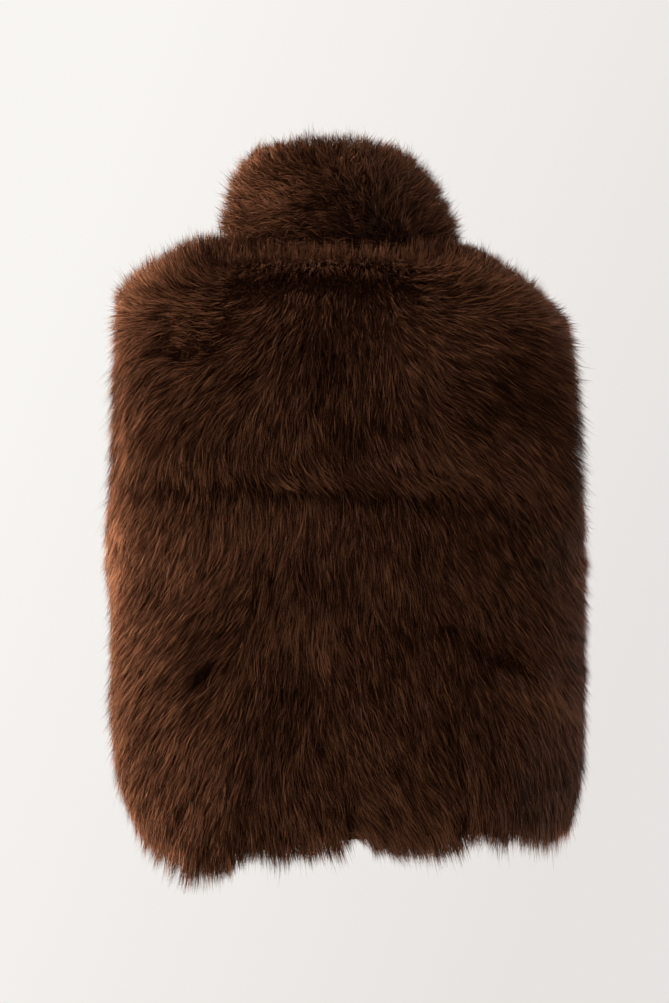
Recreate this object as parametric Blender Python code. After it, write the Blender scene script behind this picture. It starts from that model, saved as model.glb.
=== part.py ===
"""Sleeveless faux fur cape-vest, worn form with no wearer: a back, two fronts and a stand collar.

Metres, +Z up. The fronts face -Y and the back faces +Y. The wearer's left is +X.
The origin is the middle of the neck seam, at the height of the shoulder's neck point.
Each piece is one wall: its inner points are the cloth's backing, its outer points are the tips of the pile.
"""

import math

import bpy
import numpy as np

# Driving dimensions
PILE = 0.018                # depth of the combed pile above the backing
SEAM_GAP = 0.0003           # between two pieces that are sewn together
NECK_HALF_WIDTH = 0.098
NECK_HALF_DEPTH = 0.080
NAPE_DROP = 0.018           # the neck seam at the centre back, below the neck points
NAPE_CURVE = 1.3            # exponent of its fall from the neck points: more keeps it up for longer
THROAT_DROP = 0.048         # the neck seam at the centre front, below the neck points
COLLAR_STAND_BACK = 0.103   # height of the collar's backing at the centre back
COLLAR_STAND_SIDE = 0.0775
COLLAR_STAND_FRONT = 0.076
COLLAR_LEAN = 0.012         # the collar's top edge leans towards the wearer's left
COLLAR_FORWARD = 0.010      # and forwards with the neck
COLLAR_TOP_WIDTH = 0.068    # half width of the collar's top edge
COLLAR_TOP_DEPTH = 0.064
COLLAR_EVEN_CLOSE = 0.60    # share of the closing in that is even with height; the rest grows with it
COLLAR_PART = math.radians(16)  # each collar end stands this much further round at the top
UNDERARM = -0.292           # height of the armhole's lowest point
ARMHOLE_CUT = 0.235         # share of a quarter of the girth that the armhole takes from a panel
ARMHOLE_FOOT = 0.30         # share of the armhole's height that its lower curve takes
ARMHOLE_HEAD = 0.45         # share of its height above which it narrows
ARMHOLE_NARROWING = 0.28    # by this share, at the shoulder
SHOULDER_INSET = 0.985      # the shoulder seam ends at this share of the half width
FRONT_GAP_TOP = 0.010       # half the gap between the fronts' backing, at the neck
FRONT_GAP_HEM = 0.019       # the same at the hem, where the fronts fall apart

# Height of each section, and how far the backing lies from the middle on each side.
# Square is the exponent of the section's curve: 2 is an ellipse, and more is boxier.
SECTIONS = {
    "height": (-0.580, -0.545, -0.510, -0.450, -0.370, -0.290, -0.250, -0.200, -0.120, -0.060, 0.010),
    "left":   (0.1630, 0.1770, 0.1890, 0.1990, 0.1990, 0.2040, 0.2120, 0.2090, 0.2040, 0.2000, 0.1980),
    "right":  (0.1880, 0.2010, 0.2070, 0.2120, 0.2130, 0.2140, 0.2220, 0.2210, 0.2110, 0.2000, 0.1960),
    "back":   (0.1060, 0.1120, 0.1150, 0.1140, 0.1110, 0.1140, 0.1180, 0.1220, 0.1210, 0.1130, 0.1050),
    "front":  (0.1080, 0.1130, 0.1160, 0.1180, 0.1200, 0.1240, 0.1260, 0.1270, 0.1150, 0.1000, 0.0900),
    "square": (2.50, 2.50, 2.55, 2.60, 2.70, 2.80, 2.90, 3.00, 3.10, 3.00, 2.90),
}

# Height of the shoulder seams' ends. A bow of 0 is a straight seam, and more bows it up.
SHOULDER_DROP = {"left": -0.048, "right": -0.070}
SHOULDER_BOW = {"left": 0.45, "right": 0.22}

# The panels turn over the shoulders in a roll: its height, and how far round it goes
ROLL_HEIGHT_MIDDLE, ROLL_HEIGHT_SIDE = 0.092, 0.052
ROLL_TURN_MIDDLE, ROLL_TURN_NECK, ROLL_TURN_SIDE = math.radians(58), math.radians(84), math.radians(90)

# Height of the backing's hem. Place runs from the right side seam, -1, over the middle, 0, to the left one, 1.
HEM_LINE = {
    "place": (-1.00, -0.92, -0.80, -0.60, -0.30, 0.00, 0.25, 0.50, 0.80, 0.92, 1.00),
    "back":  (-0.528, -0.529, -0.532, -0.532, -0.537, -0.539, -0.546, -0.554, -0.543, -0.526, -0.522),
    "front": (-0.528, -0.529, -0.533, -0.539, -0.544, -0.546, -0.546, -0.544, -0.534, -0.525, -0.522),
}

# Folds and combed ridges of the pile: middle, slope in degrees from X, half length, half width and height.
# A negative height is a trough. Back folds face +Y and front folds face -Y.
BACK_FOLDS = (
    # x, z, slope, half length, half width, height
    (0.000, -0.030, 0, 0.130, 0.016, 0.0080),      # roll below the collar
    (0.020, -0.068, 2, 0.120, 0.016, -0.0050),     # hollow under that roll
    (0.070, -0.236, 2, 0.120, 0.013, -0.0055),     # seam-like crease across the waist, left part
    (-0.060, -0.232, -3, 0.070, 0.013, -0.0050),   # the same, middle part
    (-0.165, -0.262, 28, 0.060, 0.014, -0.0045),   # the same, where it runs down to the right side
    (0.135, -0.094, 24, 0.040, 0.014, -0.0055),    # dent below the left shoulder
    (0.075, -0.120, 38, 0.080, 0.016, -0.0025),    # drag line from that dent to the middle
    (-0.105, -0.112, -20, 0.050, 0.020, 0.0030),   # swell over the right shoulder blade
    (0.128, -0.412, -32, 0.030, 0.012, -0.0060),   # dimple low on the left
    (-0.010, -0.388, 15, 0.022, 0.012, -0.0040),   # swirl near the middle
    (-0.142, -0.398, 12, 0.036, 0.012, -0.0060),   # dimple low on the right
    (-0.120, -0.425, 10, 0.050, 0.018, 0.0030),    # swell under that dimple
    (0.060, -0.330, 60, 0.090, 0.022, 0.0025),     # soft flute down the left half
    (-0.070, -0.500, 80, 0.080, 0.020, -0.0025),   # soft flute towards the hem
)
FRONT_FOLDS = (
    (0.000, -0.018, 0, 0.130, 0.018, 0.0090),      # the same roll, from the shoulder seams to the throat
    (0.130, -0.105, 30, 0.045, 0.014, -0.0050),
    (-0.130, -0.118, -26, 0.040, 0.014, -0.0045),
    (0.100, -0.245, -4, 0.070, 0.013, -0.0050),
    (-0.110, -0.240, 6, 0.080, 0.013, -0.0045),
    (0.120, -0.400, 30, 0.032, 0.012, -0.0055),
    (-0.095, -0.425, -24, 0.036, 0.012, -0.0055),
    (0.065, -0.340, 76, 0.090, 0.020, 0.0030),
    (-0.060, -0.310, 104, 0.090, 0.020, 0.0030),
)
COLLAR_FOLDS = (
    # angle round the neck in degrees, share of the height, half angle, half share, height
    (62, 0.72, 22, 0.20, -0.0040),
    (96, 0.45, 40, 0.16, 0.0025),
    (128, 0.30, 24, 0.18, -0.0035),
    (200, 0.55, 30, 0.25, 0.0030),
    (-30, 0.50, 28, 0.22, -0.0030),
)
# Uneven locks along the hem: place as a share of the half girth, half width, and how far they hang.
HEM_LOCKS = (
    (-0.74, 0.07, 0.0030),
    (-0.60, 0.05, -0.0030),
    (-0.47, 0.05, -0.0070),
    (-0.34, 0.07, 0.0070),
    (-0.20, 0.06, 0.0030),
    (-0.05, 0.05, -0.0110),
    (0.10, 0.06, 0.0020),
    (0.31, 0.06, -0.0080),
    (0.44, 0.05, 0.0070),
    (0.58, 0.06, 0.0080),
    (0.70, 0.04, -0.0020),
)

# Grid of each piece
NECK_COLUMNS = 9            # on a quarter of the neck seam
SHOULDER_COLUMNS = 8        # along one shoulder seam
LOWER_ROWS = 15             # from the hem up to the underarm
UPPER_ROWS = 16             # from the underarm up to where the panel turns over the shoulder
ROLL_ROWS = 8               # over the shoulder
COLLAR_ROWS = 9
ROW_CROWDING = 1.45         # above 1, rows lie closer together just above the underarm

# How the pile leans out over a free edge, and how deep it is there
HEM_LEAN, HEM_PILE, HEM_REACH = math.radians(50), 0.020, 0.045
ARMHOLE_LEAN, ARMHOLE_PILE, ARMHOLE_REACH = math.radians(42), 0.015, 0.035
FRONT_LEAN, FRONT_PILE, FRONT_REACH = math.radians(30), 0.013, 0.030
COLLAR_TOP_LEAN, COLLAR_TOP_PILE, COLLAR_REACH = math.radians(58), 0.015, 0.030
COLLAR_PILE_REACH = 0.021       # the top edge's thinner pile ends this far below it
NECK_LEAN = math.radians(38)    # the neck seam's wall, up from level
NECK_PILE = 0.013               # the pile is packed into the neck seam
NECK_REACH = 0.030
NECK_PILE_REACH = 0.018     # the packed pile has its full depth again this far from the seam
NECK_CLEAR = 0.0015             # each side's pile keeps this far off the seam's wall
SEAM_REACH = 0.050              # within this of a side or shoulder seam, the wall turns into its plane
FULL_LEAN_CUT = 0.165           # the armhole's edge leans out fully where the cut takes this share

FUR_BROWN = (0.060, 0.026, 0.013)


def clear_scene():
    """Removes what the file already holds."""
    for found in list(bpy.data.objects):
        bpy.data.objects.remove(found)


def fur_material(name, tone):
    """A soft brown finish, a little lighter or darker for each piece."""
    material = bpy.data.materials.new(name)
    material.use_nodes = True
    shader = material.node_tree.nodes["Principled BSDF"]
    shader.inputs["Base Color"].default_value = tuple(c * tone for c in FUR_BROWN) + (1.0,)
    shader.inputs["Roughness"].default_value = 0.85
    shader.inputs["Metallic"].default_value = 0.0
    return material


def unit(vectors):
    """The same directions with a length of 1."""
    return vectors / np.maximum(np.linalg.norm(vectors, axis=-1, keepdims=True), 1e-9)


def smooth_step(value):
    """0 below 0, 1 above 1, and an even S between them."""
    value = np.clip(value, 0.0, 1.0)
    return value * value * (3 - 2 * value)


def smooth_curve(at, places, values):
    """The value at a place, on a smooth curve through a table's rows."""
    places = np.array(places)
    values = np.array(values)
    slopes = np.gradient(values, places)
    at = np.clip(at, places[0], places[-1])
    row = np.clip(np.searchsorted(places, at) - 1, 0, len(places) - 2)
    step = places[row + 1] - places[row]
    share = (at - places[row]) / step
    rise = 3 * share**2 - 2 * share**3
    start_pull = share**3 - 2 * share**2 + share
    end_pull = share**3 - share**2
    return (
        values[row] * (1 - rise)
        + values[row + 1] * rise
        + step * (slopes[row] * start_pull + slopes[row + 1] * end_pull)
    )


def section_value(column, height):
    """A size from the table of sections."""
    return smooth_curve(height, SECTIONS["height"], SECTIONS[column])


def quarter_section(share, half_width, half_depth, square):
    """A point on a quarter of a boxy oval, by its share of the quarter's length from the middle to the side."""
    turn = np.linspace(0, math.pi / 2, 181)
    across = half_width * np.sin(turn) ** (2 / square)
    deep = half_depth * np.cos(turn) ** (2 / square)
    along = np.concatenate([[0], np.cumsum(np.hypot(np.diff(across), np.diff(deep)))])
    at = share * along[-1]
    return np.interp(at, along, across), np.interp(at, along, deep)


def neck_ring(turn):
    """A point of the neck seam. turn is 0 at the wearer's left, 90 degrees at the nape, -90 at the throat."""
    x = NECK_HALF_WIDTH * math.cos(turn)
    y = NECK_HALF_DEPTH * math.sin(turn)
    if y > 0:
        z = -NAPE_DROP * math.sin(turn) ** NAPE_CURVE
    else:
        z = -THROAT_DROP * math.sin(turn) ** 2
    return np.array([x, y, z])


def collar_stand(turn):
    """Height of the collar's backing at a point round the neck. Its top edge stays level over the low nape."""
    if math.sin(turn) > 0:
        return COLLAR_STAND_SIDE + (COLLAR_STAND_BACK - COLLAR_STAND_SIDE) * math.sin(turn) ** NAPE_CURVE
    return COLLAR_STAND_SIDE + (COLLAR_STAND_SIDE - COLLAR_STAND_FRONT) * math.sin(turn)


def out_of_neck(turn):
    """The level direction away from the neck at a point of its seam."""
    return unit(np.array([math.cos(turn) / NECK_HALF_WIDTH, math.sin(turn) / NECK_HALF_DEPTH, 0.0]))


def neck_direction(turn):
    """The way that the wall stands at the neck seam: out and up, and over the front edge at the throat."""
    direction = out_of_neck(turn) * math.cos(NECK_LEAN) + np.array([0, 0, math.sin(NECK_LEAN)])
    half = 1.0 if math.cos(turn) > 0 else -1.0
    to_throat = unit(half * np.array([NECK_HALF_WIDTH * math.sin(turn), -NECK_HALF_DEPTH * math.cos(turn), 0.0]))
    from_throat = math.acos(np.clip(-math.sin(turn), -1, 1)) * NECK_HALF_WIDTH - FRONT_GAP_TOP
    lean = FRONT_LEAN * (1 - smooth_step(from_throat / FRONT_REACH))
    return unit(direction * math.cos(lean) + to_throat * math.sin(lean))


def keep_to_its_side(outer, turn, above):
    """Moves the pile's points off the neck seam's wall, up for the collar and down for a panel."""
    seam = neck_ring(turn)
    out = (outer - seam) @ out_of_neck(turn)
    wall = seam[2] + out * math.tan(NECK_LEAN)
    near = np.exp(-np.maximum(out - NECK_PILE, 0.0) / NECK_PILE)
    clear = NECK_CLEAR * smooth_step(np.linalg.norm(outer - seam, axis=-1) / NECK_PILE - 1.0)
    if above:
        outer[:, 2] += np.maximum(wall + clear - outer[:, 2], 0.0)
    else:
        outer[:, 2] -= np.maximum(outer[:, 2] - wall + clear, 0.0) * near


def front_gap(height):
    """Half the gap between the fronts at a height."""
    hem = min(HEM_LINE["front"])
    share = (height - hem) / (-THROAT_DROP - hem)
    return FRONT_GAP_HEM + (FRONT_GAP_TOP - FRONT_GAP_HEM) * smooth_step(share)


def armhole_cut(height, top):
    """The share of the quarter girth that the armhole takes away at a height."""
    share = np.clip((height - UNDERARM) / (top - UNDERARM), 0.0, 1.0)
    foot = np.clip(share / ARMHOLE_FOOT, 0.0, 1.0)
    foot_curve = np.sqrt(foot * (2 - foot))
    head_curve = 1 - ARMHOLE_NARROWING * smooth_step((share - ARMHOLE_HEAD) / (1 - ARMHOLE_HEAD))
    return ARMHOLE_CUT * foot_curve * head_curve


def half_panel(face, side):
    """The backing of half the back or of one front: rows from hem to top, columns from the middle to the side."""
    depth_sign = 1.0 if face == "back" else -1.0
    side_sign = 1.0 if side == "left" else -1.0
    columns = NECK_COLUMNS + SHOULDER_COLUMNS
    drop = SHOULDER_DROP[side]
    body_rows = LOWER_ROWS + UPPER_ROWS
    points = np.zeros((body_rows + ROLL_ROWS + 1, columns + 1, 3))
    gap_turn = math.asin(FRONT_GAP_TOP / NECK_HALF_WIDTH) if face == "front" else 0.0
    for column in range(columns + 1):
        share = column / columns
        # The top edge is the neck seam, then the shoulder seam.
        if column <= NECK_COLUMNS:
            from_middle = gap_turn + (math.pi / 2 - gap_turn) * column / NECK_COLUMNS
            turn = depth_sign * (math.pi / 2 - from_middle)
            top_x, top_y, top_z = neck_ring(turn)
            turn_end = ROLL_TURN_MIDDLE + (ROLL_TURN_NECK - ROLL_TURN_MIDDLE) * column / NECK_COLUMNS
        else:
            along = (column - NECK_COLUMNS) / SHOULDER_COLUMNS
            shoulder_end = section_value(side, drop) * SHOULDER_INSET
            top_x = NECK_HALF_WIDTH + (shoulder_end - NECK_HALF_WIDTH) * along
            top_y = 0.0
            top_z = drop * ((1 - SHOULDER_BOW[side]) * along + SHOULDER_BOW[side] * along**2)
            turn_end = ROLL_TURN_NECK + (ROLL_TURN_SIDE - ROLL_TURN_NECK) * along
        roll = ROLL_HEIGHT_MIDDLE + (ROLL_HEIGHT_SIDE - ROLL_HEIGHT_MIDDLE) * share
        hem = smooth_curve(side_sign * share, HEM_LINE["place"], HEM_LINE[face])
        for row in range(body_rows + ROLL_ROWS + 1):
            if row <= LOWER_ROWS:
                rise = 0.0
                z = hem + (UNDERARM - hem) * row / LOWER_ROWS
            elif row <= body_rows:
                rise = 0.0
                z = UNDERARM + (top_z - roll - UNDERARM) * ((row - LOWER_ROWS) / UPPER_ROWS) ** ROW_CROWDING
            else:
                angle = turn_end * (row - body_rows) / ROLL_ROWS
                rise = (1 - math.cos(angle)) / (1 - math.cos(turn_end))
                z = top_z - roll * (1 - math.sin(angle) / math.sin(turn_end))
            edge = 1 - armhole_cut(z, drop)
            gap = front_gap(z) if face == "front" else 0.0
            across, deep = quarter_section(
                share * edge,
                section_value(side, z) - gap,
                section_value(face, z),
                section_value("square", z),
            )
            x = gap + across
            y = depth_sign * deep
            blend = smooth_step((row - body_rows) / ROLL_ROWS)
            points[row, column] = (
                side_sign * (x + (top_x - x) * blend),
                y + (top_y - y) * rise,
                z,
            )
    return points


def grid_normals(points, outward):
    """A direction for each point of a grid, square to it. outward is 1 or -1 and picks the side."""
    along_rows = np.gradient(points, axis=0)
    along_columns = np.gradient(points, axis=1)
    normals = np.cross(along_columns, along_rows) * outward
    return unit(normals)


def relaxed(vectors, times):
    """Directions evened out with their neighbours, which keeps a thick wall from crossing itself."""
    for _ in range(times):
        padded = np.pad(vectors, ((1, 1), (1, 1), (0, 0)), mode="edge")
        around = padded[2:, 1:-1] + padded[:-2, 1:-1] + padded[1:-1, 2:] + padded[1:-1, :-2]
        vectors = unit(0.5 * vectors + 0.125 * around)
    return vectors


def distance_along(points, axis, from_end):
    """How far each point is from a grid's edge, measured along its row or column."""
    steps = np.linalg.norm(np.diff(points, axis=axis), axis=-1)
    start = np.zeros_like(np.take(steps, [0], axis=axis))
    walked = np.concatenate([start, np.cumsum(steps, axis=axis)], axis=axis)
    if from_end:
        walked = np.take(walked, [-1], axis=axis) - walked
    return walked


def fold_height(points, folds):
    """How far the folds raise or lower the pile at each point."""
    total = np.zeros(points.shape[:-1])
    for x, z, slope, half_length, half_width, height in folds:
        turn = math.radians(slope)
        right = points[..., 0] - x
        up = points[..., 2] - z
        along = (right * math.cos(turn) + up * math.sin(turn)) / half_length
        across = (-right * math.sin(turn) + up * math.cos(turn)) / half_width
        total += height * np.exp(-(along**4)) * np.exp(-(across**2))
    return total


def lean_over(directions, towards, distance, reach, angle):
    """Turns the pile towards a free edge, the more the nearer it is."""
    lean = angle * (1 - smooth_step(distance / reach))
    lean = np.asarray(lean)[..., None]
    return unit(directions * np.cos(lean) + towards * np.sin(lean))


def settle_pile(pile, distance, reach, edge_pile):
    """Brings the pile's depth to the depth it has at an edge."""
    near = 1 - smooth_step(distance / reach)
    return pile + (edge_pile - pile) * near


def hem_locks(columns, side_sign):
    """How much further the pile hangs at each column of the hem."""
    shares = side_sign * np.linspace(0, 1, columns)
    extra = np.zeros(columns)
    for place, half_width, hang in HEM_LOCKS:
        extra += hang * np.exp(-(((shares - place) / half_width) ** 2))
    return extra


def panel_wall(face, side):
    """Inner and outer points of half the back or of one front."""
    side_sign = 1.0 if side == "left" else -1.0
    depth_sign = 1.0 if face == "back" else -1.0
    points = half_panel(face, side)
    directions = grid_normals(points, -side_sign * depth_sign)
    directions = relaxed(directions, 3)
    rows, columns = points.shape[:2]

    from_hem = distance_along(points, 0, False)
    from_top = distance_along(points, 0, True)
    from_side = distance_along(points, 1, True)
    from_middle = distance_along(points, 1, False)
    down = -unit(np.gradient(points, axis=0))
    outward = unit(np.gradient(points, axis=1))

    # The free edge of the armhole. The opening's width holds back the lean near its lowest point.
    edge_heights = points[:, -1, 2]
    freedom = smooth_step(armhole_cut(edge_heights, SHOULDER_DROP[side]) / FULL_LEAN_CUT)
    on_armhole = np.repeat(freedom[:, None], columns, axis=1)

    pile = np.full((rows, columns), PILE)
    pile += fold_height(points, BACK_FOLDS if face == "back" else FRONT_FOLDS)
    pile = settle_pile(pile, from_hem, HEM_REACH, HEM_PILE)
    armhole_pile = settle_pile(pile, from_side, ARMHOLE_REACH, ARMHOLE_PILE)
    pile = pile + (armhole_pile - pile) * on_armhole

    # At the side and shoulder seams the wall stands in the seam's own plane, so both pieces meet.
    seam_side = (1 - smooth_step(from_side / SEAM_REACH)) * (1 - on_armhole)
    level = directions * np.array([1.0, 0.0, 1.0])
    directions = unit(directions + (level - directions) * seam_side[..., None])
    shoulder = np.zeros((rows, columns))
    shoulder[:, NECK_COLUMNS:] = 1 - smooth_step(from_top[:, NECK_COLUMNS:] / SEAM_REACH)
    directions = unit(directions + (level - directions) * shoulder[..., None])

    directions = lean_over(directions, down, from_hem, HEM_REACH, HEM_LEAN)
    directions = lean_over(directions, outward, from_side, ARMHOLE_REACH, ARMHOLE_LEAN * on_armhole)
    if face == "front":
        directions = lean_over(directions, -outward, from_middle, FRONT_REACH, FRONT_LEAN)
        pile = settle_pile(pile, from_middle, FRONT_REACH, FRONT_PILE)
    else:
        centre = directions[:, 0] * np.array([0.0, 1.0, 1.0])
        directions[:, 0] = unit(centre)

    # The side and shoulder seams themselves, exactly in the plane between back and fronts.
    sewn = freedom < 1e-6
    directions[sewn, -1] = unit(directions[sewn, -1] * np.array([1.0, 0.0, 1.0]))
    directions[-1, NECK_COLUMNS:] = unit(directions[-1, NECK_COLUMNS:] * np.array([1.0, 0.0, 1.0]))

    # The neck seam's wall has the direction that the collar's has.
    for column in range(NECK_COLUMNS + 1):
        x, y, _ = points[-1, column]
        turn = math.atan2(y / NECK_HALF_DEPTH, x / NECK_HALF_WIDTH)
        near = 1 - smooth_step(from_top[:, column] / NECK_REACH)
        mixed = directions[:, column] * (1 - near[:, None]) + neck_direction(turn) * near[:, None]
        directions[:, column] = unit(mixed)
        pile[:, column] = settle_pile(pile[:, column], from_top[:, column], NECK_PILE_REACH, NECK_PILE)
    # Past the neck point the seam's depth runs out to the full pile along the shoulder.
    for column in range(NECK_COLUMNS + 1, columns):
        along = (column - NECK_COLUMNS) / 2
        near = (1 - smooth_step(from_top[:, column] / NECK_REACH)) * (1 - smooth_step(along))
        pile[:, column] = pile[:, column] + (NECK_PILE - pile[:, column]) * near

    pile[0] += hem_locks(columns, side_sign)
    pile[1] += 0.5 * hem_locks(columns, side_sign)

    # Half the seam gap comes off each piece, along the shoulder, the side and the neck.
    inner = points.copy()
    inner[-1, : NECK_COLUMNS + 1, 2] -= SEAM_GAP / 2
    outer = inner + directions * pile[..., None]
    for column in range(NECK_COLUMNS + 3):
        x, y, _ = points[-1, min(column, NECK_COLUMNS)]
        turn = math.atan2(y / NECK_HALF_DEPTH, x / NECK_HALF_WIDTH)
        last = -1 if column <= NECK_COLUMNS else len(points)
        keep_to_its_side(outer[:last, column], turn, False)
    for wall in (inner, outer):
        wall[..., 1] = depth_sign * np.maximum(depth_sign * wall[..., 1], SEAM_GAP / 2)
    return inner, outer


def collar_wall():
    """Inner and outer points of the collar: rows from the neck seam up, columns from throat round to throat."""
    gap_turn = math.asin(FRONT_GAP_TOP / NECK_HALF_WIDTH)
    front_turns = np.linspace(-math.pi / 2 + gap_turn, 0, NECK_COLUMNS + 1)
    back_turns = np.linspace(0, math.pi / 2, NECK_COLUMNS + 1)
    left_turns = np.concatenate([front_turns[:-1], back_turns])
    turns = np.concatenate([left_turns[:-1], math.pi - left_turns[::-1]])
    columns = len(turns)
    points = np.zeros((COLLAR_ROWS + 1, columns, 3))
    for column, turn in enumerate(turns):
        base = neck_ring(turn)
        stand = collar_stand(turn)
        # Round the neck from the throat, 0, to the nape, 1. The ends stand further apart at the top.
        from_throat = 0.5 + math.asin(math.sin(turn)) / math.pi
        part = COLLAR_PART * (1 - from_throat) ** 2 * (1 if math.cos(turn) > 0 else -1)
        top_x = COLLAR_LEAN + COLLAR_TOP_WIDTH * math.cos(turn + part)
        top_y = -COLLAR_FORWARD + COLLAR_TOP_DEPTH * math.sin(turn + part)
        for row in range(COLLAR_ROWS + 1):
            share = row / COLLAR_ROWS
            # The collar leaves the seam nearly upright and then closes in on the neck.
            close = COLLAR_EVEN_CLOSE * share + (1 - COLLAR_EVEN_CLOSE) * share**2
            points[row, column] = (
                base[0] + (top_x - base[0]) * close,
                base[1] + (top_y - base[1]) * close,
                base[2] + stand * share,
            )
    directions = relaxed(grid_normals(points, 1.0), 2)
    from_seam = distance_along(points, 0, False)
    from_top = distance_along(points, 0, True)
    from_start = distance_along(points, 1, False)
    from_finish = distance_along(points, 1, True)
    up = unit(np.gradient(points, axis=0))
    round_neck = unit(np.gradient(points, axis=1))

    pile = np.full(points.shape[:2], PILE)
    shares = np.linspace(0, 1, COLLAR_ROWS + 1)[:, None]
    for angle, share, half_angle, half_share, height in COLLAR_FOLDS:
        around = (np.degrees(turns)[None, :] - angle) / half_angle
        pile += height * np.exp(-(around**2)) * np.exp(-(((shares - share) / half_share) ** 2))
    directions = lean_over(directions, up, from_top, COLLAR_REACH, COLLAR_TOP_LEAN)
    pile = settle_pile(pile, from_top, COLLAR_PILE_REACH, COLLAR_TOP_PILE)
    directions = lean_over(directions, -round_neck, from_start, FRONT_REACH, FRONT_LEAN)
    directions = lean_over(directions, round_neck, from_finish, FRONT_REACH, FRONT_LEAN)
    pile = settle_pile(pile, np.minimum(from_start, from_finish), FRONT_REACH, FRONT_PILE)
    for column, turn in enumerate(turns):
        near = 1 - smooth_step(from_seam[:, column] / NECK_REACH)
        mixed = directions[:, column] * (1 - near[:, None]) + neck_direction(turn) * near[:, None]
        directions[:, column] = unit(mixed)
    pile = settle_pile(pile, from_seam, NECK_PILE_REACH, NECK_PILE)

    inner = points.copy()
    inner[0, :, 2] += SEAM_GAP / 2
    outer = inner + directions * pile[..., None]
    for column, turn in enumerate(turns):
        keep_to_its_side(outer[1:, column], turn, True)
    return inner, outer


def closed_wall(name, inner, outer, material, inside_first):
    """One closed solid from two grids of points: outer face, inner face and the rim between them."""
    rows, columns = inner.shape[:2]
    count = rows * columns
    number = np.arange(count).reshape(rows, columns)
    faces = []
    for row in range(rows - 1):
        for column in range(columns - 1):
            corners = [
                number[row, column],
                number[row, column + 1],
                number[row + 1, column + 1],
                number[row + 1, column],
            ]
            faces.append([c + count for c in corners])
            faces.append(corners[::-1])
    rim = [number[0, c] for c in range(columns)]
    rim += [number[r, -1] for r in range(1, rows)]
    rim += [number[-1, c] for c in range(columns - 2, -1, -1)]
    rim += [number[r, 0] for r in range(rows - 2, 0, -1)]
    # Each rim quad is cut from the point that lies further back, so the two sides of a seam match.
    further_back = inner.reshape(-1, 3)[:, 1]
    for here, following in zip(rim, rim[1:] + rim[:1]):
        if further_back[here] > further_back[following]:
            faces.append([here, following, following + count])
            faces.append([here, following + count, here + count])
        else:
            faces.append([here, following, here + count])
            faces.append([following, following + count, here + count])
    if inside_first:
        faces = [face[::-1] for face in faces]
    mesh = bpy.data.meshes.new(name)
    vertices = np.concatenate([inner.reshape(-1, 3), outer.reshape(-1, 3)])
    mesh.from_pydata(vertices.tolist(), [], [[int(c) for c in face] for face in faces])
    mesh.materials.append(material)
    mesh.shade_smooth()
    mesh.set_sharp_from_angle(angle=math.radians(50))
    piece = bpy.data.objects.new(name, mesh)
    bpy.context.scene.collection.objects.link(piece)
    return piece


def back_wall():
    """The back, from the wearer's left side seam round to the right one."""
    left_inner, left_outer = panel_wall("back", "left")
    right_inner, right_outer = panel_wall("back", "right")
    halves = []
    for left, right in ((left_inner, right_inner), (left_outer, right_outer)):
        middle = (left[:, :1] + right[:, :1]) / 2
        halves.append(np.concatenate([left[:, :0:-1], middle, right[:, 1:]], axis=1))
    return halves


def build():
    """Makes the four pieces."""
    clear_scene()
    inner, outer = back_wall()
    closed_wall("back", inner, outer, fur_material("back_fur", 1.0), False)
    for side in ("left", "right"):
        inner, outer = panel_wall("front", side)
        name = "front_" + side
        closed_wall(name, inner, outer, fur_material(name + "_fur", 1.08), side == "right")
    inner, outer = collar_wall()
    closed_wall("collar", inner, outer, fur_material("collar_fur", 0.92), False)


build()
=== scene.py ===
# %% [markdown]
# # A sleeveless faux fur cape, combed and dressed
#
# Faux fur is a knitted backing with long fibres locked into it. A furrier cuts the backing from the wrong
# side, sews the panels, and then combs the pile over the seams. The finished fur has three layers: a
# thin knitted shell for each panel, a dense short underfur on it, and a few hundred thousand combed
# fibres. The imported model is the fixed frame. Its walls say where the backing lies and how far the pile
# reaches.

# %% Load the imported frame
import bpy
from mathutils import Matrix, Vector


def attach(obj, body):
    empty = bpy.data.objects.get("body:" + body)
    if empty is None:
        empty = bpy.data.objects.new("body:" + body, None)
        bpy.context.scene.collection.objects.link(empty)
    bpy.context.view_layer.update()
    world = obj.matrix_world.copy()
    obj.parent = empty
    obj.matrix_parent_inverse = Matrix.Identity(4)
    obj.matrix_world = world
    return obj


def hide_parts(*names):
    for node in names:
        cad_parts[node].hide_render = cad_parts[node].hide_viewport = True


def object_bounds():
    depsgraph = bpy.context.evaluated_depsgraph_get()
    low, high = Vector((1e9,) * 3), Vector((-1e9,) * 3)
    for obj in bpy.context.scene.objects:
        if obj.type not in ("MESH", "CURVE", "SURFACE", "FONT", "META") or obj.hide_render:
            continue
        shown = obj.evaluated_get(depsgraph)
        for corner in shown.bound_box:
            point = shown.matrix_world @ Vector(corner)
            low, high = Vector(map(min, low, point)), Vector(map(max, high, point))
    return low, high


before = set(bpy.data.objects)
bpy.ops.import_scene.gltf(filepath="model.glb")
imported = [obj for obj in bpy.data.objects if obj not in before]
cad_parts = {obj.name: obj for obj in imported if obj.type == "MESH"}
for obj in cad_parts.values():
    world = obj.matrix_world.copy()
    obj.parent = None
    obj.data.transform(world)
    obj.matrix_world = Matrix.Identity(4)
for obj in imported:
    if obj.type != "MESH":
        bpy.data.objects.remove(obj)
cad_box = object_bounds()
print("packed box:", [[round(value, 4) for value in corner] for corner in cad_box])

# %% Tools for the lesson
import math

import bmesh
import bpy
import numpy as np
from mathutils import Vector
from mathutils.bvhtree import BVHTree
from mathutils.kdtree import KDTree


def set_inputs(node, values):
    """Gives a node's inputs their values."""
    for title, value in values.items():
        node.inputs[title].default_value = value
    return node


def join(links, *rows):
    """Links nodes. Each row is a node, its output, the next node and that one's input."""
    for giver, output, taker, entry in rows:
        links.new(giver.outputs[output], taker.inputs[entry])


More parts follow.
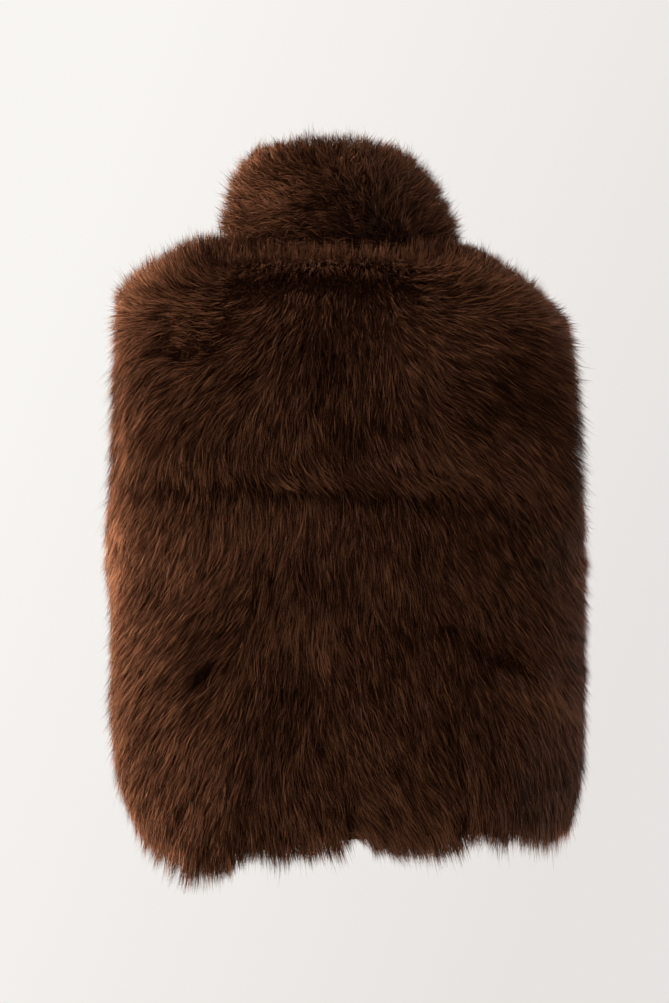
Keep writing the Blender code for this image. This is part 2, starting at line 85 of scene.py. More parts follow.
def new_material(name, values):
    """A material whose shader has these values, with its nodes and links."""
    material = bpy.data.materials.new(name)
    material.use_nodes = True
    nodes = material.node_tree.nodes
    shader = set_inputs(nodes["Principled BSDF"], values)
    return material, nodes, material.node_tree.links, shader


def new_object(name, mesh):
    """An object in the scene."""
    thing = bpy.data.objects.new(name, mesh)
    bpy.context.scene.collection.objects.link(thing)
    return thing


print("tools are ready")

# %% [markdown]
# ## Camera
#
# The garment is seen straight from behind, at the height of its own middle. A long lens from over two
# metres keeps the perspective as flat as a fashion studio's.

# %% Camera
LENS_MM = 85
CAMERA_DISTANCE = 2.23
AIM = Vector((0.006, 0.0, -0.237))
lens = bpy.data.cameras.new("camera")
lens.lens = LENS_MM
camera = new_object("camera", lens)
camera.location = AIM + Vector((0, CAMERA_DISTANCE, 0))
camera.rotation_euler = (math.radians(90), 0, math.radians(180))
bpy.context.scene.camera = camera
print("camera:", LENS_MM, "mm lens,", CAMERA_DISTANCE, "m behind the garment")

# %% [markdown]
# ## Studio
#
# A pale floor lies far below the hem, and the garment hangs free. Large soft panels light the fur: a
# bright one at the garment's left, which rakes over the pile and lights its rim, and weaker ones for the
# rest. The pale world is the studio's wall, and it fills the shadows. Two of the panels graze the fur
# from the side and from above. They light it without a reflection, because at so flat an angle even a
# dark pile would shine white.

# %% Floor, world and lights
FLOOR_HEIGHT = -1.43
FLOOR_RADIUS = 3.0
FLOOR_COLOUR = (0.58, 0.568, 0.55)
WALL_COLOUR = (0.935, 0.915, 0.885)
# Painted shade on the wall: its colour turns to this darker one towards the right and down.
WALL_SHADED_RIGHT = (0.800, 0.770, 0.748)
WALL_REACH = 0.15  # the picture's half width, as a share of the distance
WALL_DARKENS_DOWN = 0.40  # how much of that a step down counts, against a step to the right
FILL_STRENGTH = 0.12  # the wall's light on the fur
LIGHTS = {
    # name: place, width, power
    "rim": ((1.95, -0.48, -0.30), 1.1, 530),
    "key": ((1.30, 1.90, 1.05), 0.9, 38),
    "top": ((0.80, 0.35, 1.90), 1.2, 104),
    "fill": ((-1.95, -0.12, -0.25), 1.3, 68),
    "front": ((-0.60, -2.20, 0.90), 1.8, 22),
}
WITHOUT_SHEEN = ("rim", "top")  # these would whiten the dark pile where they graze it


def add_floor():
    """A round pale floor, far below the garment."""
    mesh = bpy.data.meshes.new("floor")
    disc = bmesh.new()
    bmesh.ops.create_circle(disc, cap_ends=True, segments=96, radius=FLOOR_RADIUS)
    disc.to_mesh(mesh)
    disc.free()
    matt = {"Base Color": (*FLOOR_COLOUR, 1), "Roughness": 0.9}
    mesh.materials.append(new_material("studio floor", matt)[0])
    floor = new_object("floor", mesh)
    floor.location.z = FLOOR_HEIGHT


def add_light(name, place, width, power):
    """A soft square panel that faces the garment."""
    panel = bpy.data.lights.new(name, "AREA")
    panel.size = width
    panel.energy = power
    light = new_object(name, panel)
    light.location = place
    light.visible_glossy = name not in WITHOUT_SHEEN
    light.rotation_euler = (AIM - light.location).to_track_quat("-Z", "Y").to_euler()


def add_world():
    """The studio's wall with painted shade: brighter on the left, darker to the right and down for the
    lens, and a dim fill for everything else.
    """
    world = bpy.data.worlds.new("studio")
    world.use_nodes = True
    nodes, links = world.node_tree.nodes, world.node_tree.links
    nodes.clear()
    where = nodes.new("ShaderNodeTexCoord")
    split = nodes.new("ShaderNodeSeparateXYZ")
    across = nodes.new("ShaderNodeMath")
    across.operation = "MULTIPLY_ADD"
    across.inputs[1].default_value = WALL_DARKENS_DOWN
    place = nodes.new("ShaderNodeMapRange")
    set_inputs(place, {"From Min": -WALL_REACH, "From Max": WALL_REACH})
    wall = nodes.new("ShaderNodeMix")
    wall.data_type = "RGBA"
    set_inputs(wall, {"A": (*WALL_SHADED_RIGHT, 1), "B": (*WALL_COLOUR, 1)})
    seen = nodes.new("ShaderNodeBackground")
    fill = nodes.new("ShaderNodeBackground")
    set_inputs(fill, {"Color": (*WALL_COLOUR, 1), "Strength": FILL_STRENGTH})
    ray = nodes.new("ShaderNodeLightPath")
    both = nodes.new("ShaderNodeMixShader")
    output = nodes.new("ShaderNodeOutputWorld")
    join(
        links,
        (where, "Generated", split, "Vector"),
        (split, "Z", across, 0),
        (split, "X", across, 2),
        (across, "Value", place, "Value"),
        (place, "Result", wall, "Factor"),
        (wall, "Result", seen, "Color"),
        (ray, "Is Camera Ray", both, "Fac"),
        (fill, "Background", both, 1),
        (seen, "Background", both, 2),
        (both, "Shader", output, "Surface"),
    )
    bpy.context.scene.world = world


add_floor()
for name, (place, width, power) in LIGHTS.items():
    add_light(name, place, width, power)
add_world()
bpy.context.scene.view_settings.view_transform = "Standard"
print("studio:", len(LIGHTS), "panels")

# %% [markdown]
# ## Read the walls
#
# Each packed wall is one closed solid. Its inner face is the knitted backing, its outer face is where the
# tips of the pile lie, and a rim joins them. A ray from inside the hollow meets the inner face first.
# From there a walk over neighbouring faces collects the rest of it, and stops at the turn into the rim.

# %% Walls of the frame
RAYS = {
    # node: start of the ray in the hollow, its direction
    "back": ((0.0, 0.0, -0.40), (0.0, 1.0, 0.0)),
    "front_left": ((0.04, 0.0, -0.40), (0.3, -1.0, 0.0)),
    "front_right": ((-0.04, 0.0, -0.40), (-0.3, -1.0, 0.0)),
    "collar": ((0.01, 0.0, 0.05), (0.0, 1.0, 0.0)),
}
RIM_TURN = math.radians(24)
WELD = 1e-5  # points this near to each other are one point


def inner_faces(wall, node):
    """The numbers of the faces on a wall's hollow side."""
    start, towards = RAYS[node]
    tree = BVHTree.FromBMesh(wall)
    first = tree.ray_cast(Vector(start), Vector(towards).normalized())[2]
    found = {first}
    waiting = [wall.faces[first]]
    while waiting:
        face = waiting.pop()
        for edge in face.edges:
            for other in edge.link_faces:
                if other.index not in found and other.normal.angle(face.normal) < RIM_TURN:
                    found.add(other.index)
                    waiting.append(other)
    return found


def read_wall(node):
    """A wall's points and triangles, and which of its triangles face the hollow."""
    wall = bmesh.new()
    wall.from_mesh(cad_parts[node].data)
    bmesh.ops.triangulate(wall, faces=wall.faces)
    bmesh.ops.remove_doubles(wall, verts=wall.verts, dist=WELD)
    wall.verts.index_update()
    wall.faces.index_update()
    wall.faces.ensure_lookup_table()
    found = inner_faces(wall, node)
    points = np.array([corner.co for corner in wall.verts])
    triangles = np.array([[corner.index for corner in face.verts] for face in wall.faces])
    inner = np.isin(np.arange(len(triangles)), list(found))
    wall.free()
    return {"points": points, "triangles": triangles, "inner": inner}


def tree_of(points, triangles):
    """A search tree over some triangles."""
    return BVHTree.FromPolygons(points.tolist(), triangles.tolist())


walls = {node: read_wall(node) for node in RAYS}
for node, wall in walls.items():
    print(node, len(wall["triangles"]), "triangles,", int(wall["inner"].sum()), "of them face the hollow")

# %% [markdown]
# ## The skin of the pile
#
# Everything but the inner faces carries visible fur, apart from the rims that are sewn to a neighbour.
# Joined into one skin, the four walls let the combed pile run over the seams, as a furrier's brush does.

# %% Skin and backing
SEWN_DISTANCE = 0.0025  # a rim this near to another wall is sewn to it


def unit(vectors):
    """The same directions with a length of 1."""
    return vectors / np.maximum(np.linalg.norm(vectors, axis=-1, keepdims=True), 1e-9)


def areas(corners):
    """The area of each triangle."""
    sides = corners[:, 1] - corners[:, 0], corners[:, 2] - corners[:, 0]
    return np.linalg.norm(np.cross(*sides), axis=1) / 2


def smooth_step(value):
    """0 below 0, 1 above 1, and an even S between them."""
    value = np.clip(value, 0.0, 1.0)
    return value * value * (3 - 2 * value)


def point_normals(points, triangles):
    """A direction for each point, evened out over the triangles that share it."""
    corners = points[triangles]
    faces = np.cross(corners[:, 1] - corners[:, 0], corners[:, 2] - corners[:, 0])
    normals = np.zeros_like(points)
    for corner in range(3):
        np.add.at(normals, triangles[:, corner], faces)
    return unit(normals)


def sewn(node):
    """Which triangles of a wall touch another wall."""
    wall = walls[node]
    centres = wall["points"][wall["triangles"]].mean(1)
    near = np.zeros(len(centres), bool)
    for other, neighbour in walls.items():
        if other != node:
            tree = tree_of(neighbour["points"], neighbour["triangles"])
            near |= [tree.find_nearest(Vector(c), SEWN_DISTANCE)[0] is not None for c in centres]
    return near & ~wall["inner"]


def rims(node):
    """Which triangles of a wall join its hollow side to its outer side."""
    wall = walls[node]
    on_inner = np.isin(wall["triangles"], np.unique(wall["triangles"][wall["inner"]]))
    return on_inner.any(axis=1) & ~wall["inner"]


def joined(pick):
    """The picked triangles of all walls: their corners and directions, wall numbers, and which are rims."""
    places, directions, owners, rim = [], [], [], []
    for number, (node, wall) in enumerate(walls.items()):
        picked = pick(node)
        chosen = wall["triangles"][picked]
        places.append(wall["points"][chosen])
        directions.append(point_normals(wall["points"], chosen)[chosen])
        owners.append(np.full(len(chosen), number))
        rim.append(rims(node)[picked])
    return [np.concatenate(found) for found in (places, directions, owners, rim)]


def loose_tree(corners):
    """A search tree over triangles that are given by their corners."""
    return tree_of(corners.reshape(-1, 3), np.arange(len(corners) * 3).reshape(-1, 3))


sewn_faces = {node: sewn(node) for node in walls}
furred = {node: ~walls[node]["inner"] & ~sewn_faces[node] for node in walls}
skin, skin_normals, skin_owner, skin_rim = joined(furred.get)
lining = joined(lambda node: walls[node]["inner"])[0]
skin_tree = loose_tree(skin)
lining_tree = loose_tree(lining)
skin_areas = areas(skin)
print("skin:", len(skin), "triangles,", round(float(skin_areas.sum()), 3), "square metres of pile")

# %% [markdown]
# ## How the pile is combed
#
# Fur looks real when its direction changes. These tables hold the comb's work, read off the garment row
# by row. Lean is in degrees from straight down, to the right as seen from outside, so 180 points up.
# Sweep is how far a tip lies past its root, in millimetres: long strands lie flat at 26, and stand out
# from the cloth at 8. Between two places of a table the directions are mixed as arrows, so the pile parts
# or stands where they meet. Round the neck the pile is combed sideways, and elsewhere it falls down and
# outwards.

# %% The comb
BACK_ACROSS = (0.200, 0.175, 0.145, 0.115, 0.085, 0.045, 0.000, -0.045, -0.085, -0.125, -0.165, -0.205)
BACK_LEAN = {
    # height: lean at each place across, from the garment's left to its right
    -0.008: (-130, -140, -155, -165, 180, 180, 180, 177, 170, 130, 110, 100),
    -0.024: (-130, -140, -130, -90, -10, 0, 0, 5, 50, 97, 108, 100),
    -0.042: (-98, -105, -98, -70, -40, -8, 0, 8, 80, 93, 98, 92),
    -0.060: (-90, -95, -95, -66, -42, -18, -3, 8, 66, 82, 86, 84),
    -0.078: (-62, -70, -96, -84, -45, -14, -2, 8, 55, 68, 70, 66),
    -0.098: (-38, -56, -112, -66, -42, -12, -2, 10, 45, 54, 56, 52),
    -0.133: (-22, -45, -54, -46, -36, -10, 0, 8, 36, 54, 55, 48),
    -0.165: (-17, -40, -45, -38, -26, -8, -2, -2, 34, 52, 54, 46),
    -0.200: (-14, -18, -10, -4, -14, -2, 6, 12, 32, 43, 48, 43),
    -0.228: (-6, -8, 0, 6, 16, 48, 52, 48, 43, 41, 42, 40),
    -0.254: (-20, -19, -14, -7, 0, 0, 4, 8, 18, 29, 35, 32),
    -0.285: (-22, -24, -22, -14, -8, -2, 3, 6, 18, 30, 34, 32),
    -0.330: (-24, -28, -31, -28, -20, -3, 3, 6, 18, 30, 34, 32),
    -0.375: (-28, -32, -44, -40, -18, -2, 9, 11, 13, 22, 30, 32),
    -0.410: (-24, -34, -42, -30, -12, -3, 14, 14, 12, 16, 27, 29),
    -0.455: (-18, -28, -34, -24, -12, -2, 16, 19, 14, 13, 15, 9),
    -0.505: (-18, -18, -14, -7, -2, 10, 20, 30, 30, 15, 2, -5),
    -0.550: (-14, -14, -12, -5, 2, 14, 18, 28, 26, 8, 0, -8),
}
BACK_SWEEP = {
    # height: sweep at each place across
    -0.008: (12, 12, 10, 9, 8, 8, 8, 8, 9, 14, 18, 20),
    -0.024: (16, 16, 12, 10, 15, 17, 17, 17, 14, 18, 20, 20),
    -0.042: (20, 20, 20, 18, 17, 18, 18, 18, 18, 20, 22, 22),
    -0.060: (20, 20, 18, 19, 20, 20, 20, 20, 20, 20, 22, 22),
    -0.078: (20, 15, 12, 14, 20, 20, 20, 20, 20, 22, 22, 22),
    -0.098: (22, 16, 11, 15, 22, 22, 22, 22, 22, 23, 23, 22),
    -0.133: (24, 25, 26, 26, 26, 26, 26, 26, 26, 26, 26, 24),
    -0.550: (26, 26, 26, 26, 26, 26, 26, 26, 26, 26, 26, 26),
}
FRONT_ACROSS = (-0.205, -0.150, -0.090, -0.030, 0.030, 0.090, 0.150, 0.205)
FRONT_LEAN = {
    -0.012: (-118, -140, -165, -170, 168, 160, 130, 108),
    -0.045: (-95, -92, -70, -25, 20, 60, 92, 100),
    -0.080: (-75, -70, -45, -15, 12, 42, 66, 84),
    -0.130: (-48, -45, -30, -8, 6, 24, 48, 52),
    -0.215: (-35, -28, -12, 8, 4, -14, 20, 24),
    -0.240: (-30, 20, 32, 26, -20, -34, -12, 22),
    -0.265: (-28, -10, 4, -6, -4, 8, 26, 20),
    -0.330: (-24, -30, -8, 2, 6, 18, 34, 20),
    -0.400: (-20, -36, -26, 4, 10, 34, 22, 14),
    -0.480: (-10, -16, -4, 10, -8, 6, 16, 8),
    -0.548: (4, -8, 6, 12, -10, -4, 8, -4),
}
FRONT_SWEEP = {
    -0.012: (16, 12, 10, 8, 8, 10, 12, 17),
    -0.045: (20, 16, 13, 12, 12, 13, 17, 20),
    -0.130: (24, 25, 25, 22, 22, 25, 25, 24),
    -0.548: (26, 26, 26, 26, 26, 26, 26, 26),
}
# Round the collar in degrees: -90 is the throat, 0 the garment's left, 90 the nape, 180 the right.
COLLAR_ROUND = (-90, -45, 0, 30, 55, 75, 95, 112, 130, 150, 175, 225, 270)
COLLAR_LEAN = {
    -0.020: (-65, -78, -95, -90, -86, -84, -84, -88, -110, 110, 92, 76, 65),
    0.010: (-72, -85, -100, -96, -92, -90, -92, -105, 165, 116, 98, 82, 70),
    0.040: (-80, -95, -112, -104, -96, -94, -112, -170, 146, 122, 104, 90, 80),
    0.065: (-95, -110, -130, -125, -110, -100, -150, 178, 155, 128, 105, 100, 95),
    0.090: (-120, -135, -150, -150, -155, -165, 180, 175, 160, 145, 135, 125, 115),
}
COLLAR_SWEEP = {
    -0.020: (18, 20, 21, 20, 19, 18, 16, 13, 9, 15, 18, 20, 18),
    0.040: (17, 19, 19, 18, 18, 17, 14, 13, 15, 16, 17, 19, 17),
    0.090: (13, 13, 14, 15, 15, 15, 16, 17, 16, 15, 15, 14, 13),
}
MILLIMETRE = 0.001
BODY_HALF_WIDTH, BODY_HALF_DEPTH = 0.21, 0.12
COLLAR_MIDDLE, COLLAR_HALF_WIDTH, COLLAR_HALF_DEPTH = 0.006, 0.095, 0.080
SIDE_BLEND = 0.08  # the depth at the sides over which the back's comb turns into the front's
OUTWARD_SHARE = 0.35  # keeps the level direction steady where the surface lies flat


def table_value(heights, columns, values, height, across):
    """A table's value at any place, evenly between its rows and columns."""
    row = np.clip(np.searchsorted(heights, height) - 1, 0, len(heights) - 2)
    column = np.clip(np.searchsorted(columns, across) - 1, 0, len(columns) - 2)
    up = np.clip((height - heights[row]) / (heights[row + 1] - heights[row]), 0, 1)
    along = np.clip((across - columns[column]) / (columns[column + 1] - columns[column]), 0, 1)
    low = values[row, column] * (1 - along) + values[row, column + 1] * along
    high = values[row + 1, column] * (1 - along) + values[row + 1, column + 1] * along
    return low * (1 - up) + high * up


def arrows(leans, sweeps, places, height, across):
    """How far the pile runs to the right and down, in metres, from a table of leans and one of sweeps."""
    order = np.argsort(places)
    columns = np.array(places, float)[order]
    heights = np.array(sorted(leans))
    turn = np.radians(np.array([leans[row] for row in heights], float)[:, order])
    sweep_heights = np.array(sorted(sweeps))
    sweep = np.array([sweeps[row] for row in sweep_heights], float)[:, order] * MILLIMETRE
    right = table_value(heights, columns, np.sin(turn), height, across)
    down = table_value(heights, columns, np.cos(turn), height, across)
    length = table_value(sweep_heights, columns, sweep, height, across)
    return np.stack([right, down], axis=1) * length[:, None]


def comb(points, on_collar):
    """The pile's run to the right and down at each place, in metres."""
    x, y, z = points.T
    to_front = smooth_step(0.5 - y / SIDE_BLEND)[:, None]
    body = arrows(BACK_LEAN, BACK_SWEEP, BACK_ACROSS, z, x) * (1 - to_front)
    body += arrows(FRONT_LEAN, FRONT_SWEEP, FRONT_ACROSS, z, x) * to_front
    around = np.degrees(np.arctan2(y / COLLAR_HALF_DEPTH, (x - COLLAR_MIDDLE) / COLLAR_HALF_WIDTH))
    around = np.where(around < -90, around + 360, around)
    collar = arrows(COLLAR_LEAN, COLLAR_SWEEP, COLLAR_ROUND, z, around)
    return np.where(on_collar[:, None], collar, body)


def out_of_body(points):
    """The level direction away from the garment's middle."""
    out = points / np.array([BODY_HALF_WIDTH**2, BODY_HALF_DEPTH**2, 1.0])
    out[:, 2] = 0
    return unit(out)


def along_surface(points, normals):
    """The right-hand and the downward direction along the surface at each place."""
    level = normals * np.array([1.0, 1.0, 0.0]) + OUTWARD_SHARE * out_of_body(points)
    right = np.cross(np.array([0.0, 0.0, 1.0]), level)
    right = unit(right - (right * normals).sum(1, keepdims=True) * normals)
    return right, np.cross(right, normals)


rows = {"back": BACK_LEAN, "fronts": FRONT_LEAN, "collar": COLLAR_LEAN}
print("comb rows:", {place: len(table) for place, table in rows.items()})

# %% [markdown]
# ## Creases and partings
#
# Where the cloth bends, the pile opens and the dark underfur shows, and the fibres pressed into it are
# darkened with painted shade. Each mark is a soft trough with its own place, slope and size. The long
# crease across the waist is seven of them end to end, and the whirl below the left shoulder is a crescent
# of six. The hidden fronts have marks of the same kinds, in other places.

# %% Marks in the pile
BACK_MARKS = (
    # x, z, slope in degrees from X, half length, half width, depth
    (0.152, -0.231, 8, 0.032, 0.0034, 0.0035),  # the crease across the waist
    (0.095, -0.2355, 2, 0.026, 0.0032, 0.0048),
    (0.042, -0.2375, 4, 0.030, 0.0036, 0.0068),
    (-0.020, -0.2400, 5, 0.034, 0.0033, 0.0052),
    (-0.072, -0.2450, 7, 0.022, 0.0042, 0.0075),
    (-0.100, -0.244, -5, 0.020, 0.0045, 0.0050),
    (-0.135, -0.252, -30, 0.020, 0.0045, 0.0035),
    (0.050, -0.047, -3, 0.060, 0.0060, 0.0050),  # hollow below the roll
    (-0.045, -0.050, 2, 0.050, 0.0060, 0.0035),
    (0.127, -0.399, -40, 0.011, 0.0050, 0.0100),  # partings low on the left
    (0.107, -0.389, -40, 0.006, 0.0040, 0.0075),
    (0.082, -0.336, -50, 0.009, 0.0045, 0.0060),
    (-0.006, -0.365, 60, 0.007, 0.0045, 0.0065),
    (-0.101, -0.361, 5, 0.009, 0.0050, 0.0070),  # partings low on the right
    (-0.128, -0.380, 30, 0.012, 0.0045, 0.0080),
    (-0.160, -0.391, 15, 0.017, 0.0055, 0.0100),
    (0.092, -0.056, 40, 0.016, 0.0045, 0.0060),  # the whirl below the left shoulder
    (0.108, -0.078, 66, 0.017, 0.0045, 0.0090),
    (0.124, -0.099, 34, 0.012, 0.0042, 0.0105),
    (0.146, -0.105, -6, 0.013, 0.0042, 0.0105),
    (0.163, -0.092, -58, 0.013, 0.0045, 0.0090),
    (0.169, -0.070, -82, 0.010, 0.0045, 0.0050),
    (0.140, -0.083, 5, 0.014, 0.0090, -0.0040),
    (0.112, -0.018, 30, 0.008, 0.0055, 0.0080),  # where collar, roll and shoulder meet
    (0.121, -0.008, 0, 0.006, 0.0050, 0.0060),
    (0.096, -0.044, -20, 0.010, 0.0050, 0.0060),
    (0.147, -0.527, 88, 0.013, 0.0040, 0.0060),  # gaps between the locks of the hem
    (-0.013, -0.540, 84, 0.022, 0.0050, 0.0090),
    (-0.112, -0.540, 88, 0.018, 0.0045, 0.0060),
    (-0.079, -0.115, 62, 0.016, 0.0060, -0.0030),  # a lifted tuft
    (-0.021, 0.056, 30, 0.012, 0.0050, 0.0070),  # partings of the collar
    (-0.085, 0.004, 10, 0.012, 0.0050, 0.0070),
    (0.095, 0.027, 60, 0.010, 0.0050, 0.0060),
    (0.030, 0.030, -15, 0.018, 0.0045, 0.0050),
)
FRONT_MARKS = (
    (0.120, -0.245, -6, 0.060, 0.0045, 0.0065),
    (-0.115, -0.238, 8, 0.066, 0.0045, 0.0060),
    (0.140, -0.105, 35, 0.014, 0.0055, 0.0085),
    (-0.150, -0.095, -30, 0.012, 0.0050, 0.0080),
    (0.050, -0.052, -30, 0.030, 0.0060, 0.0045),
    (-0.052, -0.050, 32, 0.028, 0.0060, 0.0045),
    (0.135, -0.385, 38, 0.012, 0.0050, 0.0100),
    (0.075, -0.350, 20, 0.008, 0.0045, 0.0070),
    (-0.105, -0.410, -25, 0.015, 0.0050, 0.0100),
    (-0.150, -0.340, -50, 0.009, 0.0045, 0.0075),
    (0.100, -0.535, 85, 0.015, 0.0050, 0.0070),
    (-0.125, -0.530, 95, 0.015, 0.0050, 0.0070),
)
FACING_GAIN = 2
MARK_FACING, SHADE_FACING = 0.3, 0.6  # how far round the sides marks and shades go on


def faces_out(side, normals, start):
    """1 where the surface faces the back, or the front for a side of -1, and 0 where it faces away."""
    return smooth_step(side * normals[:, 1] * FACING_GAIN + start)


def relief(marks, points, facing):
    """The depth of some marks at each place."""
    depth = np.zeros(len(points))
    for x, z, slope, half_length, half_width, deep in marks:
        turn = math.radians(slope)
        right = points[:, 0] - x
        up = points[:, 2] - z
        along = (right * math.cos(turn) + up * math.sin(turn)) / half_length
        across = (-right * math.sin(turn) + up * math.cos(turn)) / half_width
        depth += deep * np.exp(-(along**4)) * np.exp(-(across**2)) * facing
    return depth


def mark_depth(points, normals):
    """How deep the marks press the pile at each place."""
    depth = np.zeros(len(points))
    for marks, side in ((BACK_MARKS, 1), (FRONT_MARKS, -1)):
        depth += relief(marks, points, faces_out(side, normals, MARK_FACING))
    return depth


print("marks:", len(BACK_MARKS), "on the back,", len(FRONT_MARKS), "on the fronts")

# %% [markdown]
# ## Fullness, and painted light and shade
#
# Long pile is never even. Where a shoulder or the collar pushes it up it stands fuller, and where it was
# leaned on it lies flatter. Broad areas also look lighter or darker where the light falls on the tips or
# misses them, and that light and shade is painted into the fibres' tone. Both are soft oval places: the
# left side, the left shoulder and the roll's crest get painted highlights, and the roll's shadow and the
# hollow below it get painted shade.

# %% Fuller places and broad shades
FULLNESS = (
    # x, z, slope, half length, half width, flatter by this depth
    (0.160, -0.022, -30, 0.045, 0.0200, -0.0080),  # the left shoulder's end
    (-0.126, -0.010, 32, 0.030, 0.0150, 0.0090),  # flat beside the right neck point
    (0.000, -0.033, 0, 0.135, 0.0090, -0.0035),  # the roll
    (0.020, -0.056, 2, 0.115, 0.0080, 0.0035),  # and the hollow below it
)
PAINTED_LIGHT_AND_SHADE = (
    # x, z, half width, half height, lighter by this tone (painted light), or darker for a negative one
    # (painted shade)
    (0.005, -0.108, 0.110, 0.046, -0.090),  # in the shade of the roll
    (-0.020, -0.175, 0.130, 0.035, -0.045),
    (-0.150, -0.150, 0.050, 0.060, -0.030),
    (0.010, 0.003, 0.110, 0.007, -0.120),  # the collar's foot, in the roll's shade
    (0.010, -0.012, 0.120, 0.007, 0.420),  # the roll's crest
    (0.010, -0.026, 0.125, 0.010, 0.260),
    (0.010, -0.046, 0.120, 0.009, -0.150),  # and the hollow below it
    (0.210, -0.215, 0.016, 0.170, 0.260),  # the left side, turned to the light
    (0.160, -0.050, 0.070, 0.050, 0.170),  # the left shoulder
    (0.000, -0.530, 0.200, 0.022, 0.080),  # the hem's tips
    (0.165, -0.500, 0.050, 0.060, 0.060),
    (0.150, -0.190, 0.060, 0.050, -0.070),
    (-0.120, -0.240, 0.080, 0.090, -0.030),
    (0.140, -0.083, 0.018, 0.018, 0.120),
    (0.085, 0.045, 0.026, 0.050, 0.100),  # the collar's left
    (0.000, 0.010, 0.035, 0.030, -0.060),  # the collar's middle
    (0.180, -0.330, 0.040, 0.200, 0.030),
)


def painted_light_and_shade_tone(points, normals):
    """The painted light and shade of the broad areas: how much lighter each place on the back is made."""
    tone = np.zeros(len(points))
    facing = faces_out(1, normals, SHADE_FACING)
    for x, z, half_width, half_height, lighter in PAINTED_LIGHT_AND_SHADE:
        away = ((points[:, 0] - x) / half_width) ** 2 + ((points[:, 2] - z) / half_height) ** 2
        tone += lighter * np.exp(-away) * facing
    return tone


print("fullness:", len(FULLNESS), "places, shades:", len(PAINTED_LIGHT_AND_SHADE))

# %% [markdown]
# ## Places on the skin
#
# Fibres are scattered over the skin by area, so the pile is equally dense everywhere. Flat triangles
# would show as facets in so soft a thing, so each place is moved onto the smooth surface that they stand
# for. All chance comes from one seeded die, and every run grows the same fur.

# %% Scattering
WAVES, WAVE_PITCH = 6, (0.7, 1.4)  # soft noise is a sum of waves of uneven pitch
BEND_PITCH, BEND_STRENGTH = 0.6, 1.5  # and each wave is bent by a slower one
FULL_TURN = 6.28
ROUNDING = 0.75  # how far a place moves from its flat triangle to the smooth surface
dice = np.random.default_rng(7)


def soft_noise(points, size):
    """Smooth noise around 0 with a spread of about 1. size is the width of its hills."""
    total = np.zeros(len(points))
    for _ in range(WAVES):
        wave = unit(dice.normal(0, 1, 3)) * (math.pi / size) * dice.uniform(*WAVE_PITCH)
        bend = unit(dice.normal(0, 1, 3)) * (math.pi / size) * BEND_PITCH
        total += np.sin(points @ wave + dice.uniform(0, FULL_TURN) + BEND_STRENGTH * np.sin(points @ bend))
    return total / math.sqrt(WAVES / 2)


def rounded(corners, normals, shares):
    """Points on the smooth surface that flat triangles stand for."""
    flat = (corners * shares[..., None]).sum(1)
    over = ((flat[:, None] - corners) * normals).sum(-1, keepdims=True)
    onto = flat[:, None] - over * normals
    return (1 - ROUNDING) * flat + ROUNDING * (onto * shares[..., None]).sum(1)


def scattered(count, weights):
    """Random places on the skin: each one's triangle and its share of the three corners."""
    chosen = dice.choice(len(weights), count, p=weights / weights.sum())
    first, second = dice.random((2, count))
    over = first + second > 1
    first = np.where(over, 1 - first, first)
    second = np.where(over, 1 - second, second)
    return chosen, np.stack([first, second, 1 - first - second], axis=1)


def on_skin(chosen, shares):
    """The places and directions of scattered points."""
    places = rounded(skin[chosen], skin_normals[chosen], shares)
    directions = unit((skin_normals[chosen] * shares[..., None]).sum(1))
    return places, directions


def nearest(tree, points):
    """The nearest place on a surface for each point."""
    return np.array([tree.find_nearest(Vector(point))[0] for point in points])


def distances(tree, points):
    """How far each point lies from a surface."""
    return np.array([tree.find_nearest(Vector(point))[3] for point in points])


def search_tree(points):
    """A tree that finds the nearest of these points."""
    tree = KDTree(len(points))
    for number, point in enumerate(points):
        tree.insert(point, number)
    tree.balance()
    return tree


def nearest_numbers(tree, points):
    """The number of the nearest point in a tree, for each place."""
    return np.array([tree.find(point)[1] for point in points])


print("scattering over", len(skin_areas), "triangles of the skin")

# %% [markdown]
# ## Edges and the roll
#
# A furrier cuts the backing alone and never the pile, so at every free edge the fibres run on past the
# cloth. At the hem they hang in uneven locks, so the fringe's reach is written place by place. At the
# armholes and at the collar's top it is short. Below the collar the back's pile is pushed up against it
# and stands as a roll, so the fibres next to that seam are lifted up and outwards.

# %% Fringe and crest
FRINGE_DEPTH = 0.020  # a fibre this near to a free edge reaches past it, the more the nearer
COLLAR_TOP_REACH, ARMHOLE_REACH, FRONT_HEM_REACH = 0.0035, 0.0045, 0.0095
HEM_REACH = {
    # x on the back: how far the fringe hangs below the cut hem's pile, in millimetres
    -0.210: 8, -0.175: 12, -0.150: 12, -0.115: 6, -0.065: 9, -0.035: 5, -0.012: 3,
    0.000: 5, 0.040: 7, 0.068: 13, 0.094: 0, 0.110: 12, 0.150: 17, 0.200: 10,
}
HEM_TOP, HEM_FADE = -0.48, 0.03  # below this height a free edge is the hem
CREST_LIFT = np.array([0.0, 0.0045, 0.0075])  # the roll's top fibres stand up against the collar
CREST_DEPTH, CREST_BACK = 0.025, 0.04
collar_skin = walls["collar"]["triangles"][~walls["collar"]["inner"]]
collar_tree = tree_of(walls["collar"]["points"], collar_skin)
edge_tree = loose_tree(skin[skin_rim])


def edge_nearness(points):
    """1 on a free edge, 0 further from it than the fringe is deep."""
    return smooth_step(1 - distances(edge_tree, points) / FRINGE_DEPTH)


def edge_reach(points, on_collar):
    """How far the fringe goes past the nearest free edge."""
    hem = np.interp(points[:, 0], list(HEM_REACH), list(HEM_REACH.values())) * MILLIMETRE
    hem = np.where(points[:, 1] > 0, hem, FRONT_HEM_REACH)
    at_hem = smooth_step((HEM_TOP - points[:, 2]) / HEM_FADE)
    reach = hem * at_hem + ARMHOLE_REACH * (1 - at_hem)
    return np.where(on_collar, COLLAR_TOP_REACH, reach)


